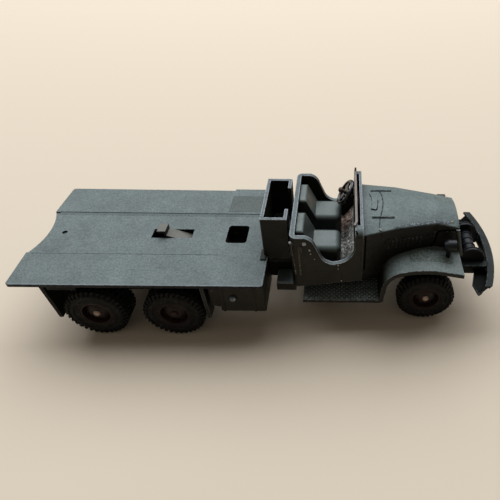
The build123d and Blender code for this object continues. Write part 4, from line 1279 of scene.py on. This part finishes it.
@dataclass
class CabFloor:
    """The rough, lumpy casting that shows before the seats."""

    rear_x: float = -31.5
    front_x: float = -26.0
    over_z: float = 40.0
    # columns: the piece's name, its right edge, its left edge, its finish
    parts: tuple[tuple[str, float, float, Finish], ...] = (
        ("cab_floor_lumps_near", -16.0, 6.5, CAB_CASTING_PALE),
        ("cab_floor_lumps_far", 6.5, 16.0, CAB_CASTING))
    cell: float = 0.35
    lift: float = 0.15
    lump: float = 0.45
    least: float = 0.02

    def build(self) -> None:
        """Lays a lumpy sheet over the floor and the toe board, in two parts."""
        for label, low, high, finish in self.parts:
            seat_on(label, [self.sheet(low, high, finish)])

    def rise(self, x: float, y: float) -> float:
        """Gives the sheet's height over the floor: broad lumps with finer ones on them.

        Args:
            x: station from the front axle.
            y: distance to the left of the middle plane.

        Returns:
            The height in millimetres.
        """
        broad = noise.noise(Vector((x, y, 0)) * 0.9)
        fine = noise.noise(Vector((x, y, 3)) * 2.2)
        return max(self.lift + self.lump * broad + 0.5 * self.lump * fine, self.least)

    def sheet(self, low: float, high: float, finish: Finish) -> Piece:
        """Makes one part of the sheet.

        Args:
            low: its right edge.
            high: its left edge.
            finish: what it is made of.

        Returns:
            The part.
        """
        skin = Skin("cab_floor")
        columns = int((self.front_x - self.rear_x) / self.cell)
        rows = int((high - low) / self.cell)
        points: list[Vector] = []
        index: dict[tuple[int, int], int] = {}
        for i in range(columns + 1):
            for j in range(rows + 1):
                x, y = self.rear_x + i * self.cell, low + j * self.cell
                met = skin.meet(spot(x, y, self.over_z), Vector(Side.ABOVE.value))
                if met:
                    index[i, j] = len(points)
                    points.append(met[0] + met[1] * self.rise(x, y) * MM)
        cells = [((i, j), (i + 1, j), (i + 1, j + 1), (i, j + 1))
                 for i in range(columns) for j in range(rows)]
        faces = [tuple(index[key] for key in cell) for cell in cells if all(key in index for key in cell)]
        return solid(points, faces, finish)


@dataclass
class Studio:
    """The plain floor, the soft lamp, the room light and the camera at the photograph's angle."""

    floor_hex: str = "d8cbb7"
    floor_size: float = 4.0
    lamp_place: Triple = (-0.08, 0.68, 1.02)
    lamp_size: Pair = (2.2, 1.25)
    lamp_power: float = 30.0
    lamp_hex: str = "f6f9ff"
    room_hex: str = "fff4e6"
    room_strength: float = 0.16
    focal_px: float = 485.033
    picture_px: float = 500.0
    principal_px: Pair = (353.342, 247.637)
    sensor_mm: float = 36.0
    nearest: float = 0.005
    azimuth_deg: float = -1.718
    elevation_deg: float = 41.607
    roll_deg: float = 1.762
    eye: Triple = (0.02612, -0.134113, 0.137845)

    def floor(self) -> None:
        """Lays the floor, a plain pale board."""
        half = self.floor_size / 2
        mesh = bpy.data.meshes.new("floor")
        mesh.from_pydata([(-half, -half, 0), (half, -half, 0), (half, half, 0), (-half, half, 0)], [],
                         [(0, 1, 2, 3)])
        board = bpy.data.objects.new("floor", mesh)
        bpy.context.collection.objects.link(board)
        made = bpy.data.materials.new("floor board")
        tree = bare_tree(made)
        shader = add_node(tree, "ShaderNodeBsdfPrincipled", {
            "Base Color": linear(self.floor_hex), "Roughness": 0.9, "Specular IOR Level": 0.1})
        add_node(tree, "ShaderNodeOutputMaterial", {"Surface": shader.outputs[0]})
        mesh.materials.append(made)

    def lamp(self) -> None:
        """Hangs a soft panel that looks at the truck."""
        data = bpy.data.lights.new("sky panel", "AREA")
        data.shape = "RECTANGLE"
        data.size, data.size_y = self.lamp_size
        data.energy = self.lamp_power
        data.color = linear(self.lamp_hex)[:3]
        panel = bpy.data.objects.new("sky panel", data)
        panel.location = self.lamp_place
        panel.rotation_euler = (-Vector(self.lamp_place)).to_track_quat("-Z", "Y").to_euler()
        bpy.context.collection.objects.link(panel)

    def room(self) -> None:
        """Fills the room with weak light."""
        world = bpy.data.worlds.new("room")
        tree = bare_tree(world)
        back = add_node(tree, "ShaderNodeBackground", {
            "Color": linear(self.room_hex), "Strength": self.room_strength})
        add_node(tree, "ShaderNodeOutputWorld", {"Surface": back.outputs[0]})
        bpy.context.scene.world = world

    def camera(self) -> None:
        """Sets the camera where the photograph was taken from."""
        azimuth, elevation, roll = map(math.radians, (self.azimuth_deg, self.elevation_deg, self.roll_deg))
        ahead = Vector((-math.sin(azimuth) * math.cos(elevation), math.cos(azimuth) * math.cos(elevation),
                        -math.sin(elevation)))
        level = ahead.cross(Vector((0, 0, 1))).normalized()
        upright = level.cross(ahead)
        right = level * math.cos(roll) + upright * math.sin(roll)
        top = upright * math.cos(roll) - level * math.sin(roll)
        data = bpy.data.cameras.new("camera")
        data.sensor_width = self.sensor_mm
        data.lens = self.focal_px / self.picture_px * self.sensor_mm
        half = self.picture_px / 2
        data.shift_x = (half - self.principal_px[0]) / self.picture_px
        data.shift_y = (self.principal_px[1] - half) / self.picture_px
        data.clip_start = self.nearest
        camera = bpy.data.objects.new("camera", data)
        camera.matrix_world = Matrix((*zip(right, top, -ahead, self.eye), (0, 0, 0, 1)))
        bpy.context.collection.objects.link(camera)
        bpy.context.scene.camera = camera

    def build(self) -> None:
        """Sets up floor, lamp, room light and camera."""
        self.floor()
        self.lamp()
        self.room()
        self.camera()
        bpy.context.scene.view_settings.view_transform = "Standard"


def main() -> None:
    """Dresses the frame, adds the pieces and sets the studio."""
    logging.basicConfig(level=logging.INFO, format="%(name)s: %(message)s")
    LOG.info("dressed %d nodes", dress_nodes())
    # columns: name, station, outer face, width, twin
    axles = (("front", 0.0, 17.6, 5.8, False), ("middle", -86.5, 25.6, 9.2, True),
             ("rear", -112.5, 25.6, 9.2, True))
    wheels = [Wheel(name, x, face, left, width, twin) for name, x, face, width, twin in axles
              for left in (False, True)]
    for part in (RunningBoards(), CabDetails(), CabFloor(), BonnetDetails(), DeckDetails(), Steering(),
                 Nose(), *wheels):
        part.build()
    Studio().build()
    LOG.info("studio ready")


if __name__ == "__main__":
    main()
